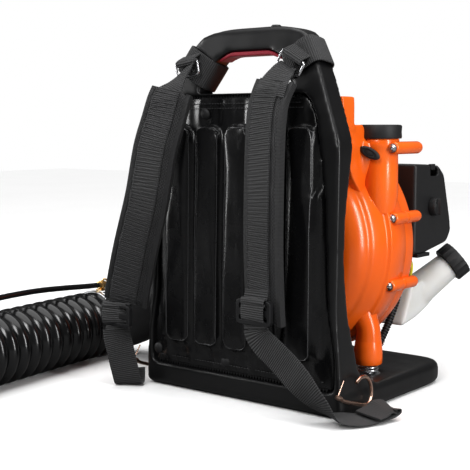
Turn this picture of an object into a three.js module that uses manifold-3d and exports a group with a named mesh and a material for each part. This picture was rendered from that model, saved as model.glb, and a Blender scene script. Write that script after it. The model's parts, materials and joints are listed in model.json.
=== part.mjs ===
// Backpack leaf blower: a moulded back frame with a padded harness carries a two-stroke engine
// and a centrifugal fan, whose outlet feeds a bellows hose and a control pipe.
// Millimetres, +Z up. Origin: centre of the base plate's underside. -Y is the wearer's side,
// +Y the engine side, and the hose leaves on the -X side.

import * as THREE from 'three';
import { mergeVertices } from 'three/addons/utils/BufferGeometryUtils.js';
import Module from 'manifold-3d';

// Driving dimensions

const GAP = 0.4;                 // clearance kept between neighbouring parts

const BASE_HALF = 160;           // half the base plate's width
const BASE_FRONT = -135;
const BASE_REAR = 135;
const BASE_TOP = 30;

const FRAME_KINK = 330;          // height where the back frame starts to narrow and lean
const FRAME_TOP = 475;           // top of the carrying handle
const LEAN = 0.2123;             // rearward lean of the frame above the kink, per millimetre
const HANDLE_FLOOR = 392;        // bottom of the carrying-handle opening
const HANDLE_ROOF = 445;         // top of the opening, before the soft insert is fitted

const PAD_SEAT = -124;           // front of the panel that the back pad is fixed to
const PAD_BAND = -131;           // front of the pad's flat bands
const PAD_RIB = -140;            // front of the pad's raised ribs
const RIB_PITCH = 48.5;
const RIB_WIDTH = 37;

const FAN_Z = 195;               // height of the shaft, which runs along Y at x = 0
const FAN_RADIUS = 152;
const FAN_SPLIT = 27;            // joint face between the two halves of the fan case
const WALL = 3;                  // wall of moulded housings
const SHAFT_RADIUS = 7;

const MOUNT_X = 115;             // the two springs under the fan case
const MOUNT_Y = -2;
const MOUNT_TOP = 55;

const NECK_X = 127;              // capped upright outlet beside the fan
const NECK_TOP = 346;
const NECK_RADIUS = 24;

const ENGINE_Y = 104;            // cylinder axis along the shaft
const STARTER_Y = 133;           // front of the starter housing

const OUTLET_Z = 108;            // height of the fan case's outlet
const DUCT_RADIUS = 46;          // elbow outside
const HOSE_RADIUS = 50;          // bellows hose outside
const PIPE_X = -288;
const PIPE_Z = 50.6;             // axis of the control pipe, lying on the ground
const PIPE_START = -430.6;
const PIPE_END = -640;
const PIPE_RADIUS = 40;
const GRIP_Y = -535;

const STRAP_WIDTH = 60;
const STRAP_THICKNESS = 11;
const WEBBING_WIDTH = 38;

// Materials

const finish = {
  frame: { color: 0x1c1c1d, roughness: 0.5, metalness: 0 },
  redGrip: { color: 0x8c1626, roughness: 0.6, metalness: 0 },
  pad: { color: 0x0b0b0c, roughness: 0.28, metalness: 0 },
  strap: { color: 0x232325, roughness: 0.9, metalness: 0 },
  webbing: { color: 0x1d1d1f, roughness: 0.85, metalness: 0 },
  buckle: { color: 0x151516, roughness: 0.45, metalness: 0 },
  steel: { color: 0xc9cbce, roughness: 0.25, metalness: 1 },
  copper: { color: 0xc9a184, roughness: 0.3, metalness: 1 },
  brass: { color: 0xc79a45, roughness: 0.3, metalness: 1 },
  orange: { color: 0xff5d12, roughness: 0.22, metalness: 0 },
  charcoal: { color: 0x2a2a2b, roughness: 0.55, metalness: 0 },
  rubber: { color: 0x111112, roughness: 0.7, metalness: 0 },
  bellows: { color: 0x08080a, roughness: 0.15, metalness: 0 },
  cast: { color: 0x9a9c9e, roughness: 0.45, metalness: 1 },
  fan: { color: 0x3a3b3d, roughness: 0.5, metalness: 0 },
  ceramic: { color: 0xe8e4da, roughness: 0.3, metalness: 0 },
  tank: { color: 0xe9e9e6, roughness: 0.35, metalness: 0 },
  fuelLine: { color: 0xd8d21c, roughness: 0.35, metalness: 0 },
  bulb: { color: 0xb9c4c8, roughness: 0.25, metalness: 0 },
};

const blower = new THREE.Group();

function place(name, geometry, look) {
  const mesh = new THREE.Mesh(geometry, new THREE.MeshStandardMaterial(finish[look]));
  mesh.name = name;
  blower.add(mesh);
  return mesh;
}

// Joining and cutting solids

const wasm = await Module();
wasm.setup();

function weld(geometry) {
  const bare = geometry.clone();
  bare.deleteAttribute('normal');
  bare.deleteAttribute('uv');
  return mergeVertices(bare, 1e-4);
}

function toSolid(geometry) {
  const merged = geometry.userData.welded ? geometry : weld(geometry);
  const mesh = new wasm.Mesh({
    numProp: 3,
    vertProperties: new Float32Array(merged.attributes.position.array),
    triVerts: new Uint32Array(merged.index.array),
  });
  return new wasm.Manifold(mesh);
}

function toGeometry(solid) {
  const mesh = solid.getMesh();
  const geometry = new THREE.BufferGeometry();
  geometry.setAttribute('position', new THREE.BufferAttribute(mesh.vertProperties, 3));
  geometry.setIndex(new THREE.BufferAttribute(mesh.triVerts, 1));
  geometry.computeVertexNormals();
  geometry.userData.welded = true;
  return geometry;
}

function join(...parts) {
  return toGeometry(parts.map(toSolid).reduce((a, b) => a.add(b)));
}

function cut(body, ...tools) {
  return toGeometry(tools.map(toSolid).reduce((a, b) => a.subtract(b), toSolid(body)));
}

function overlap(a, b) {
  return toGeometry(toSolid(a).intersect(toSolid(b)));
}

// Basic shapes

function outline(points) {
  return new THREE.Shape(points.map(([x, y]) => new THREE.Vector2(x, y)));
}

// A closed outline whose corners are rounded by the radius given with each point.
function roundedOutline(points) {
  const shape = new THREE.Shape();
  const count = points.length;
  points.forEach(([x, y, radius], i) => {
    const corner = new THREE.Vector2(x, y);
    const before = new THREE.Vector2(...points[(i + count - 1) % count]);
    const after = new THREE.Vector2(...points[(i + 1) % count]);
    const start = corner.clone().lerp(before, radius / corner.distanceTo(before));
    const end = corner.clone().lerp(after, radius / corner.distanceTo(after));
    if (i === 0) shape.moveTo(start.x, start.y);
    else shape.lineTo(start.x, start.y);
    if (radius > 0) shape.quadraticCurveTo(x, y, end.x, end.y);
  });
  shape.closePath();
  return shape;
}

function rectangle(width, height, radius) {
  const w = width / 2;
  const h = height / 2;
  return roundedOutline([[-w, -h, radius], [w, -h, radius], [w, h, radius], [-w, h, radius]]);
}

function circle(radius) {
  return new THREE.Shape().absarc(0, 0, radius, 0, 2 * Math.PI);
}

// Extrusions of an outline along one axis. The outline's two numbers are the other two axes.
function extrude(shape, depth, segments, bevel) {
  const options = { depth, steps: 1, curveSegments: segments, bevelEnabled: bevel > 0 };
  if (bevel > 0) {
    options.depth = depth - 2 * bevel;
    options.bevelThickness = bevel;
    options.bevelSize = bevel;
    options.bevelOffset = -bevel;
    options.bevelSegments = 1;
  }
  return new THREE.ExtrudeGeometry(shape, options).translate(0, 0, bevel);
}

function prismZ(shape, low, high, segments = 4, bevel = 0) {
  return extrude(shape, high - low, segments, bevel).translate(0, 0, low);
}

function prismY(shape, low, high, segments = 4, bevel = 0) {
  return extrude(shape, high - low, segments, bevel).rotateX(Math.PI / 2).translate(0, high, 0);
}

function prismX(shape, low, high, segments = 4, bevel = 0) {
  const turn = new THREE.Matrix4().makeBasis(
    new THREE.Vector3(0, 1, 0), new THREE.Vector3(0, 0, 1), new THREE.Vector3(1, 0, 0));
  return extrude(shape, high - low, segments, bevel).applyMatrix4(turn).translate(low, 0, 0);
}

function box(x0, x1, y0, y1, z0, z1) {
  return new THREE.BoxGeometry(x1 - x0, y1 - y0, z1 - z0)
    .translate((x0 + x1) / 2, (y0 + y1) / 2, (z0 + z1) / 2);
}

// A turned part about the Y axis. The profile lists [radius, y] and closes on itself or on the axis.
function turned(profile, segments = 32) {
  const points = profile.map(([r, y]) => new THREE.Vector2(r, y));
  if (profile[0][0] > 0) points.push(points[0].clone());
  const geometry = new THREE.LatheGeometry(points, segments);
  return facingOut(geometry);
}

function volume(geometry) {
  const flat = geometry.index ? geometry.toNonIndexed() : geometry;
  const p = flat.attributes.position;
  const [a, b, c] = [new THREE.Vector3(), new THREE.Vector3(), new THREE.Vector3()];
  let sum = 0;
  for (let i = 0; i < p.count; i += 3) {
    a.fromBufferAttribute(p, i);
    b.fromBufferAttribute(p, i + 1);
    c.fromBufferAttribute(p, i + 2);
    sum += a.dot(b.cross(c));
  }
  return sum;
}

// Turns a closed solid's faces outward.
function facingOut(geometry) {
  if (volume(geometry) > 0) return geometry;
  const order = geometry.index.array;
  for (let i = 0; i < order.length; i += 3) {
    [order[i], order[i + 1]] = [order[i + 1], order[i]];
  }
  return geometry;
}

function fromYTo(direction, position) {
  const turn = new THREE.Quaternion().setFromUnitVectors(
    new THREE.Vector3(0, 1, 0), new THREE.Vector3(...direction).normalize());
  return new THREE.Matrix4().compose(
    new THREE.Vector3(...position), turn, new THREE.Vector3(1, 1, 1));
}

// A rod along any direction, starting at a point.
function rod(start, direction, length, radius, segments = 16, endRadius = radius) {
  const geometry = new THREE.CylinderGeometry(endRadius, radius, length, segments);
  return geometry.translate(0, length / 2, 0).applyMatrix4(fromYTo(direction, start));
}

// A closed tube or bar along a smooth curve through points.
function along(points, shape, steps, segments = 3) {
  const path = new THREE.CatmullRomCurve3(points.map((p) => new THREE.Vector3(...p)));
  return new THREE.ExtrudeGeometry(shape, { steps, extrudePath: path, curveSegments: segments });
}

// A flat band along a curve. Each row of the route is a point, then the direction of its width.
class BandCurve extends THREE.CatmullRomCurve3 {
  constructor(route) {
    super(route.map(([p]) => new THREE.Vector3(...p)), false, 'centripetal');
    this.across = new THREE.CatmullRomCurve3(route.map(([, w]) => new THREE.Vector3(...w)));
  }

  computeFrenetFrames(steps) {
    const frames = { tangents: [], normals: [], binormals: [] };
    for (let i = 0; i <= steps; i += 1) {
      const tangent = this.getTangentAt(i / steps);
      const side = this.across.getPoint(this.getUtoTmapping(i / steps));
      side.addScaledVector(tangent, -side.dot(tangent)).normalize();
      frames.tangents.push(tangent);
      frames.normals.push(side);
      frames.binormals.push(new THREE.Vector3().crossVectors(tangent, side));
    }
    return frames;
  }
}

function band(route, width, thickness, steps) {
  const shape = rectangle(width, thickness, thickness * 0.35);
  return new THREE.ExtrudeGeometry(
    shape, { steps, extrudePath: new BandCurve(route), curveSegments: 1 });
}

// Back frame with its base plate and carrying handle, moulded in one piece

function framePlate() {
  const front = overlap(
    prismY(roundedOutline([
      [-157, 4, 4], [157, 4, 4], [156, 60, 20], [150, 120, 20], [153, FRAME_KINK, 14],
      [108, 428, 22], [84, FRAME_TOP - 8, 16], [40, FRAME_TOP, 12], [-40, FRAME_TOP, 12],
      [-84, FRAME_TOP - 8, 16], [-108, 428, 22], [-153, FRAME_KINK, 14], [-150, 120, 20],
      [-156, 60, 20],
    ]), -160, 0, 3),
    prismX(roundedOutline([
      [BASE_FRONT, 4, 2], [-40, 4, 2], [-46, BASE_TOP, 4], [-88, 46, 14], [-104, 110, 20],
      [-116, 185, 20], [-116, 245, 20], [-100, FRAME_KINK + 8, 16], [-72, FRAME_TOP + 1, 12],
      [-104, FRAME_TOP + 1, 12], [BASE_FRONT, FRAME_KINK, 14],
    ]), -162, 162, 3));
  return join(front, basePlate());
}

function basePlate() {
  return prismZ(roundedOutline([
    [-BASE_HALF, BASE_FRONT, 12], [BASE_HALF, BASE_FRONT, 12],
    [BASE_HALF, BASE_REAR, 40], [-BASE_HALF, BASE_REAR, 40],
  ]), 0, BASE_TOP, 4, 6);
}

// The pad's outline in the XZ plane, grown outward by the clearance given.
function padOutline(grow) {
  const side = [[146, 32], [146, 74], [136, 130], [131, 263], [126, 312], [115, 358], [96, 388]];
  const right = side.map(([x, z]) => [x + grow, z + (z < 40 ? -grow : 0) + (z > 380 ? grow : 0), 8]);
  const left = right.map(([x, z, r]) => [-x, z, r]).reverse();
  return roundedOutline([...right, ...left]);
}

// A leaning slab between two Y positions, following the frame's front above the kink.
function leaningSlab(rear, front, low, high) {
  const shift = (high - FRAME_KINK) * LEAN;
  return prismX(outline([
    [front, low], [rear, low], [rear, FRAME_KINK], [rear + shift, high],
    [front + shift, high], [front, FRAME_KINK],
  ]), -158, 158);
}

function handleOpening() {
  return prismY(roundedOutline([
    [-79, HANDLE_FLOOR, 5], [79, HANDLE_FLOOR, 5], [52, 436, 10], [34, HANDLE_ROOF, 8],
    [-34, HANDLE_ROOF, 8], [-52, 436, 10],
  ]), -160, -40, 2);
}

function frame() {
  const recess = overlap(prismY(padOutline(GAP + 1), -170, -60, 2),
    leaningSlab(PAD_SEAT, -200, 20, 400));
  const coilSeats = [MOUNT_X, -MOUNT_X].map((x) =>
    rod([x, MOUNT_Y, BASE_TOP - 3], [0, 0, 1], 20, 17, 24));
  return cut(framePlate(), handleOpening(), recess, ...coilSeats);
}

function handleInsert() {
  return prismY(roundedOutline([
    [-50, 432, 1], [-33, 439, 8], [33, 439, 8], [50, 432, 1], [49, 436, 1],
    [33.5, HANDLE_ROOF - GAP, 8], [-33.5, HANDLE_ROOF - GAP, 8], [-49, 436, 1],
  ]), -108, -84, 2);
}

function backPad() {
  const slab = overlap(prismY(padOutline(0), -170, -60, 2),
    leaningSlab(PAD_SEAT - GAP, PAD_BAND, 32, 388));
  const parts = [slab];
  for (let i = -2; i <= 2; i += 1) {
    const rib = rectangle(RIB_WIDTH, 284, 12);
    parts.push(prismY(rib, PAD_RIB, PAD_BAND + 2, 2).translate(i * RIB_PITCH, 0, 208));
  }
  for (const side of [1, -1]) {
    const rib = rectangle(8, 200, 3.5);
    parts.push(prismY(rib, PAD_RIB + 2, PAD_BAND + 2, 2).translate(side * 124, 0, 170));
  }
  return join(...parts);
}

function mountSpring(x) {
  const turns = 3.5;
  const wire = 1.6;
  class Coil extends THREE.Curve {
    getPoint(t, target = new THREE.Vector3()) {
      const angle = t * turns * 2 * Math.PI;
      const low = BASE_TOP - 3 + wire + GAP;
      const high = MOUNT_TOP - wire - GAP;
      return target.set(x + 11 * Math.cos(angle), MOUNT_Y + 11 * Math.sin(angle),
        low + (high - low) * t);
    }
  }
  const options = { steps: 30, extrudePath: new Coil(), curveSegments: 2 };
  return new THREE.ExtrudeGeometry(circle(wire), options);
}

// Harness

const strapRoutes = {
  right: [
    [[66, -140, 403], [1, -0.17, -0.2]], [[63, -150, 382], [1, -0.17, -0.1]],
    [[64, -158, 358], [1, -0.17, 0]], [[67, -165, 322], [1, -0.17, 0]],
    [[70, -171, 262], [1, -0.17, 0]], [[69, -170, 203], [1, -0.17, 0]],
    [[66, -163, 142], [1, -0.17, 0]], [[64, -158, 114], [1, -0.17, 0]],
  ],
  left: [
    [[-92, -142, 404], [1, 0.3, 0.1]], [[-97, -150, 388], [1, 0.3, 0.1]],
    [[-101, -159, 356], [1, 0.3, 0.15]], [[-110, -166, 319], [1, 0.3, 0.2]],
    [[-120, -172, 254], [1, 0.3, 0.25]], [[-141, -172, 188], [1, 0.3, 0.3]],
    [[-163, -166, 128], [1, 0.3, 0.25]], [[-168, -163, 114], [1, 0.3, 0.2]],
  ],
};

function ladderBuckle() {
  const body = prismY(rectangle(52, 30, 5), -3.5, 3.5, 2);
  const slots = [7, -7].map((z) => prismY(rectangle(42, 6, 1.5), -9, 9, 2).translate(0, 0, z));
  return cut(body, ...slots);
}

// Rectangular wire ring, long bars along X, hanging in the XZ plane.
function wireRing(width, height, wire) {
  const outer = prismY(rectangle(width, height, 5), -wire / 2, wire / 2, 3);
  return cut(outer, prismY(rectangle(width - 2 * wire, height - 2 * wire, 3), -9, 9, 3));
}

// A stitched webbing loop round a leg of the handle; the leg runs along the loop's Z axis.
function hangerLoop(inside, depth) {
  const t = 2.4;
  const outer = prismZ(rectangle(inside + 2 * t, depth + 2 * t, 4), -19, 19, 2);
  return cut(outer, prismZ(rectangle(inside, depth, 2), -25, 25, 2));
}

function strapHook(side) {
  const x = side * 165.5;
  const route = [[-150, 32], [-137, 26], [-118, 20], [-98, 14], [-84, 13], [-77, 22], [-79, 36],
    [-88, 46], [-101, 48], [-112, 44]];
  return along(route.map(([y, z]) => [x, y, z]), circle(2), 24, 2);
}

function hookGate(side) {
  return rod([side * 165.5, -151.5, 35.5], [0, 0.6, 0.8], 20, 0.9, 8);
}

function lowerWebbing(side) {
  const routes = {
    1: [
      [[63, -175, 101], [1, 0, 0.1]], [[70, -174, 91], [1, 0, 0.4]],
      [[84, -174, 84], [1, 0, 0.9]], [[102, -174, 72], [0.9, 0, 1]],
      [[126, -177, 54], [0.9, 0, 1]], [[149, -173, 31], [0.8, -0.4, 0.6]],
      [[162, -160, 13], [0.8, -0.5, 0]], [[175, -141, 9], [0.8, -0.5, -0.3]],
      [[184, -121, 9], [0.8, -0.5, -0.3]], [[190, -101, 9], [0.8, -0.5, -0.3]],
      [[194, -87, 10], [0.8, -0.5, -0.3]], [[195, -81, 14], [0.8, -0.5, -0.3]],
      [[192, -93, 16], [0.8, -0.5, -0.3]], [[190, -110, 16], [0.8, -0.5, -0.3]],
      [[188, -127, 15], [0.8, -0.5, -0.3]],
    ],
    [-1]: [
      [[-177, -174, 78], [0.85, 0.5, 0.1]], [[-175, -174, 66], [0.85, 0.5, 0]],
      [[-169, -174, 48], [0.85, 0.5, -0.1]], [[-163, -172, 22], [0.85, 0.5, -0.1]],
      [[-162, -168, 6], [0.85, 0.5, 0]], [[-164, -162, 3], [0.85, 0.5, 0]],
      [[-168, -155, 6], [0.85, 0.5, 0]], [[-173, -149, 20], [0.85, 0.5, 0]],
    ],
  };
  return band(routes[side], WEBBING_WIDTH, 2, side > 0 ? 26 : 13);
}

const loopCentres = { right: [83, -97.8, 428], left: [-84.3, -99, 425.5] };
const ringCentres = { right: [78, -128.5, 426], left: [-87, -128.5, 424] };
const ringTilts = { right: 30, left: -8 };
const buckleCentres = { right: [61, -177, 127], left: [-175, -174.5, 97] };

function harness() {
  for (const [name, side] of [['right', 1], ['left', -1]]) {
    place(`shoulder_strap_${name}`, band(strapRoutes[name], STRAP_WIDTH, STRAP_THICKNESS, 12),
      'strap');
    place(`lower_webbing_${name}`, lowerWebbing(side), 'webbing');
    place(`strap_hook_${name}`, strapHook(side), 'copper');
    place(`hook_gate_${name}`, hookGate(side), 'copper');
    const loop = place(`hanger_loop_${name}`, hangerLoop(50, 39), 'webbing');
    loop.position.set(...loopCentres[name]);
    loop.quaternion.setFromUnitVectors(new THREE.Vector3(0, 0, 1),
      new THREE.Vector3(-side * 0.512, 0.177, 0.834).normalize());
    const ring = place(`hanger_ring_${name}`, wireRing(40, 21, 3.2), 'steel');
    ring.position.set(...ringCentres[name]);
    ring.rotation.y = THREE.MathUtils.degToRad(ringTilts[name]);
    place(`ladder_buckle_${name}`, ladderBuckle(), 'buckle')
      .position.set(...buckleCentres[name]);
  }
}

// Fan

const caseFront = [[72, -70], [98, -69], [124, -56], [142, -32], [FAN_RADIUS, 0],
  [FAN_RADIUS, FAN_SPLIT - GAP]];
const caseRear = [[FAN_RADIUS, FAN_SPLIT], [FAN_RADIUS, 50], [142, 61], [62, 66]];

const RIM_SEGMENTS = 24;
const bossPlaces = [[153, 323], [149.3, 233], [146, 146]];

// The screw bosses on the rim. The top one is moulded whole on the front half, beside the neck.
function rimBosses(low, high) {
  return bossPlaces.slice(1).map(([x, z]) => rod([x, low, z], [0, 1, 0], high - low, 8, 10));
}

// A turned body about the shaft, from the axis out to the profile and back.
function wheelBody(profile) {
  const closed = [[0, profile[0][1]], ...profile, [0, profile.at(-1)[1]]];
  return turned(closed, RIM_SEGMENTS).translate(0, 0, FAN_Z);
}

function fanCaseFront() {
  const parts = [
    wheelBody(caseFront),
    rod([NECK_X, 0, 262], [0, 0, 1], NECK_TOP - 262, NECK_RADIUS, 24),
    box(96, 110, -62, -30, 262, 355),
    box(98, 121, -78, -50, 290, 387),
    rod([-90, -4, OUTLET_Z], [-1, 0, 0], 74, DUCT_RADIUS, 24),
    ...rimBosses(-4, FAN_SPLIT - GAP),
    rod([153, -12, 323], [0, 1, 0], 66, 8, 10),
  ];
  for (const side of [1, -1]) {
    parts.push(rod([side * MOUNT_X, MOUNT_Y, MOUNT_TOP], [0, 0, 1], 46, 15, 16, 21));
  }
  const bore = wheelBody([[72, -90], [72, -69], [97, -66], [122, -53.5], [139.2, -31],
    [FAN_RADIUS - WALL, 0], [FAN_RADIUS - WALL, 60]]);
  const outletBore = rod([-60, -4, OUTLET_Z], [-1, 0, 0], 120, DUCT_RADIUS - 4, 24);
  const neckBore = rod([NECK_X, 0, NECK_TOP - 22], [0, 0, 1], 40, 21, 16);
  const rearHalf = wheelBody([[FAN_RADIUS + 1, FAN_SPLIT - GAP], [FAN_RADIUS + 1, 90]]);
  const spotFaces = bossPlaces.slice(1).map(([x, z]) => rod([x, -60, z], [0, 1, 0], 56, 5.6, 10));
  return cut(join(...parts), bore, outletBore, neckBore, rearHalf, ...spotFaces);
}

function fanCaseRear() {
  const outer = join(wheelBody(caseRear), ...rimBosses(FAN_SPLIT, 61));
  const bore = wheelBody([[FAN_RADIUS - WALL, FAN_SPLIT - 5], [FAN_RADIUS - WALL, 49],
    [140, 58], [62, 63]]);
  const shaftHole = rod([0, 40, FAN_Z], [0, 1, 0], 40, 62, 32);
  const outlet = rod([-90, -4, OUTLET_Z], [-1, 0, 0], 80, DUCT_RADIUS + GAP, 24);
  return cut(outer, bore, shaftHole, outlet);
}

function intakeGuard() {
  const parts = [];
  for (const radius of [20, 66]) {
    parts.push(turned([[radius - 2, -76], [radius + 2, -76], [radius + 2, -73], [radius - 2, -73]], 14));
  }
  for (let i = 0; i < 3; i += 1) {
    parts.push(box(-2, 2, -76, -72, -69, 69).rotateY(i * Math.PI / 3 + 0.3));
  }
  return cut(join(...parts), rod([0, -80, 0], [0, 1, 0], 12, 8, 16)).translate(0, 0, FAN_Z);
}

function impeller() {
  const parts = [
    turned([[SHAFT_RADIUS + 0.05, -26], [20, -26], [24, 12], [128, 20], [128, 23],
      [SHAFT_RADIUS + 0.05, 23]], 24),
  ];
  const blades = 9;
  for (let i = 0; i < blades; i += 1) {
    const blade = prismY(outline([[64, -2], [92, 5], [126, -4], [126, -1.5],
      [92, 7.5], [64, 0.5]]), -30, 18);
    parts.push(blade.rotateY(i * 2 * Math.PI / blades));
  }
  const sink = parts.shift();
  return join(sink, ...parts).translate(0, 0, FAN_Z);
}

function caseScrew([x, z], seat) {
  const head = turned([[0, -GAP], [4.6, -GAP], [4.6, -1.8], [3, -3.2], [0, -3.6]], 12);
  return head.translate(x, seat, z);
}

function fan() {
  place('fan_case_front', fanCaseFront(), 'orange');
  place('fan_case_rear', fanCaseRear(), 'orange');
  place('intake_guard', intakeGuard(), 'charcoal');
  place('impeller', impeller(), 'fan');
  place('neck_cap', cut(rod([NECK_X, 0, 335], [0, 0, 1], 17, NECK_RADIUS + 3, 28),
    rod([NECK_X, 0, 300], [0, 0, 1], NECK_TOP - 300 + GAP, NECK_RADIUS + GAP, 28)), 'rubber');
  place('oval_plug', prismY(rectangle(26, 11, 5.4), -4, 4, 4, 1), 'rubber')
    .position.set(126, -30.5, 318);
  blower.getObjectByName('oval_plug').rotation.y = 0.5;
  ['top', 'middle', 'bottom'].forEach((name, i) => {
    place(`case_screw_${name}`, caseScrew(bossPlaces[i], i ? -4 : -12), 'steel');
  });
}

// Engine, with its shaft along Y

function crankcase() {
  const body = join(
    turned([[20, 66 + GAP], [74, 66 + GAP], [74, 71], [44, 73], [44, 129], [20, 129]], 20),
    box(-30, 30, ENGINE_Y - 22, ENGINE_Y + 20, 30, 46)).translate(0, 0, FAN_Z);
  const chamber = turned([[0, 78], [36, 78], [36, 118], [0, 118]], 20).translate(0, 0, FAN_Z);
  const bearing = rod([0, 60, FAN_Z], [0, 1, 0], 80, 10, 20);
  const transfer = rod([0, ENGINE_Y, FAN_Z], [0, 0, 1], 60, 20.5, 18);
  const filler = turned([[0, 70], [20.5, 70], [20.5, 129], [0, 129]], 20).translate(0, 0, FAN_Z);
  return cut(join(body, filler), chamber, bearing, transfer);
}

function cylinder() {
  const low = 46 + GAP;
  const profile = [[20.3, low]];
  profile.push([26, low]);
  const fins = 3;
  for (let i = 0; i < fins; i += 1) {
    const z = low + 6 + i * 11;
    profile.push([23.5, z], [27, z + 0.6], [27, z + 2.6], [23.5, z + 3.2]);
  }
  profile.push([23.5, 82], [12, 88], [5.3, 88], [5.3, 80], [20.3, 78]);
  const barrel = turned(profile, 16).rotateX(Math.PI / 2).translate(0, ENGINE_Y, FAN_Z);
  return barrel;
}

function piston() {
  return rod([0, ENGINE_Y, FAN_Z + 49], [0, 0, 1], 24, 19.4, 16);
}

function crankshaft() {
  const parts = [
    turned([[0, -27], [SHAFT_RADIUS - 0.05, -27], [SHAFT_RADIUS - 0.05, 120], [0, 120]], 24),
    turned([[0, 92], [34, 92], [34, 98], [0, 98]], 24),
  ];
  return join(...parts).translate(0, 0, FAN_Z);
}

function flywheel() {
  return turned([[SHAFT_RADIUS + GAP, 30], [16, 30], [16, 38], [52, 38], [52, 52],
    [46, 52], [46, 44], [14, 44], [14, 54], [SHAFT_RADIUS + GAP, 54]], 16).translate(0, 0, FAN_Z);
}

function engineCover() {
  const shape = roundedOutline([[-62, 74, 8], [36, 74, 8], [36, 146, 16], [-62, 146, 16]]);
  const inner = roundedOutline([[-59.5, 76.5, 7], [33.5, 76.5, 7], [33.5, 143.5, 14],
    [-59.5, 143.5, 14]]);
  const clearance = rod([0, 60, FAN_Z], [0, 1, 0], 120, 61, 40);
  const plugHole = rod([0, ENGINE_Y, 280], [0, 0, 1], 40, 10, 16);
  return cut(prismZ(shape, 222, 291, 3, 3), prismZ(inner, 200, 288, 3), clearance, plugHole);
}

function muffler() {
  return prismX(rectangle(52, 50, 10), -98, -64.5, 3, 3).translate(0, 112, 256);
}

function sparkPlug() {
  return turned([[0, 79.5], [4.8, 79.5], [4.8, 88.6], [7.5, 88.6], [7.5, 95], [9, 95.6],
    [9, 108], [6, 112], [0, 112]], 16).rotateX(Math.PI / 2).translate(0, ENGINE_Y, FAN_Z);
}

function starterCover() {
  const y = STARTER_Y;
  const shellShape = turned([[58, y], [58, y + 30], [50, y + 37], [0, y + 37], [0, y + 10],
    [5, y + 10], [5, y + 34], [48, y + 34], [55, y + 28], [55, y]], 24);
  const slots = [];
  for (let i = 0; i < 6; i += 1) {
    slots.push(box(-3, 3, y + 30, y + 40, 24, 44).rotateY((i + 0.5) * Math.PI / 3));
  }
  const ropeEye = rod([-70, y + 18, 22], [1, 0, 0], 30, 4, 12);
  return cut(shellShape, ...slots, ropeEye).translate(0, 0, FAN_Z);
}

function starterPulley() {
  const y = STARTER_Y + 14;
  return turned([[5.3, y - 3], [24, y - 3], [24, y + 0.5], [20, y + 2.5], [20, y + 6], [24, y + 8],
    [24, y + 11], [5.3, y + 11]], 16).translate(0, 0, FAN_Z);
}

const ROPE_Z = FAN_Z + 22;
const ROPE_Y = STARTER_Y + 18;

function starterGrip() {
  const bar = prismZ(rectangle(15, 20, 6), -34, 34, 3, 3).translate(-84, ROPE_Y, ROPE_Z);
  const neck = rod([-70 - GAP, ROPE_Y, ROPE_Z], [-1, 0, 0], 12, 6, 14, 8);
  return join(bar, neck);
}

function carburettor() {
  const body = join(
    box(42, 70, 90, 120, 222, 254),
    rod([37, 105, 238], [1, 0, 0], 37, 13, 20),
    box(50, 62, 94, 116, 254, 262));
  return body;
}

function filterBase() {
  const plate = prismX(roundedOutline([[88, 180, 6], [176, 186, 6], [186, 216, 6], [166, 282, 6],
    [150, 292, 6], [88, 294, 6]]), 75, 87 - GAP, 2);
  return cut(plate, rod([60, 105, 238], [1, 0, 0], 40, 10, 20));
}

function filterCover() {
  const shape = roundedOutline([[86, 177, 4], [112, 176, 4], [181, 187, 4], [193, 202, 5],
    [190, 220, 6], [170, 284, 6], [153, 297, 5], [86, 300, 4]]);
  const inner = roundedOutline([[89, 181, 3], [112, 180, 3], [179, 190, 3], [189.5, 203, 4],
    [186.5, 219, 5], [167.5, 281, 5], [151, 293.5, 4], [89, 296.5, 3]]);
  const notch = box(122, 150, 128, 150, 282, 310);
  const outer = prismX(shape, 87, 132, 2, 3);
  return cut(join(outer, box(90, 104, 96, 130, 171, 178)), prismX(inner, 80, 129, 2), notch);
}

function filterKnob() {
  return join(
    rod([132 + GAP, 135, 240], [1, 0, 0], 9, 13, 20, 12),
    box(141, 146, 132, 138, 229, 251));
}

// Fuel system

const SPOUT = [0.55, 0.55, 0.62];
const SPOUT_START = [92, 160, 112];

function fuelTank() {
  const side = roundedOutline([[92, 74, 6], [134, 82, 10], [171, 95, 10],
    [205, 115, 8], [205, 132, 5], [120, 132, 5]]);
  return join(prismX(side, -112, 112, 2, 3), rod(SPOUT_START, SPOUT, 62, 24, 28, 20));
}

function fuelCap() {
  const ridges = 20;
  const shape = new THREE.Shape();
  for (let i = 0; i < ridges * 2; i += 1) {
    const radius = i % 2 ? 24.5 : 26;
    const angle = i * Math.PI / ridges;
    shape[i ? 'lineTo' : 'moveTo'](radius * Math.cos(angle), radius * Math.sin(angle));
  }
  const cap = extrude(shape, 20, 1, 0).rotateX(-Math.PI / 2);
  const start = new THREE.Vector3(...SPOUT_START)
    .addScaledVector(new THREE.Vector3(...SPOUT).normalize(), 62 + GAP);
  return cap.applyMatrix4(fromYTo(SPOUT, start.toArray()));
}

function fuelSystem() {
  place('fuel_tank', fuelTank(), 'tank');
  place('fuel_cap', fuelCap(), 'rubber');
  place('fuel_line', along([[96, 124, 132.6], [96, 122, 150], [92, 118, 166], [78, 113, 170],
    [68, 110, 182], [66, 109, 202], [66, 109, 221.5]], circle(2.6), 18, 2), 'fuelLine');
  place('wiring_conduit', along([[100, 106, 140], [100, 98, 116], [100, 84, 94], [99, 70, 74],
    [98, 56, 58], [97, 50, 48]], circle(4.5), 12, 2), 'rubber');
}

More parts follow.
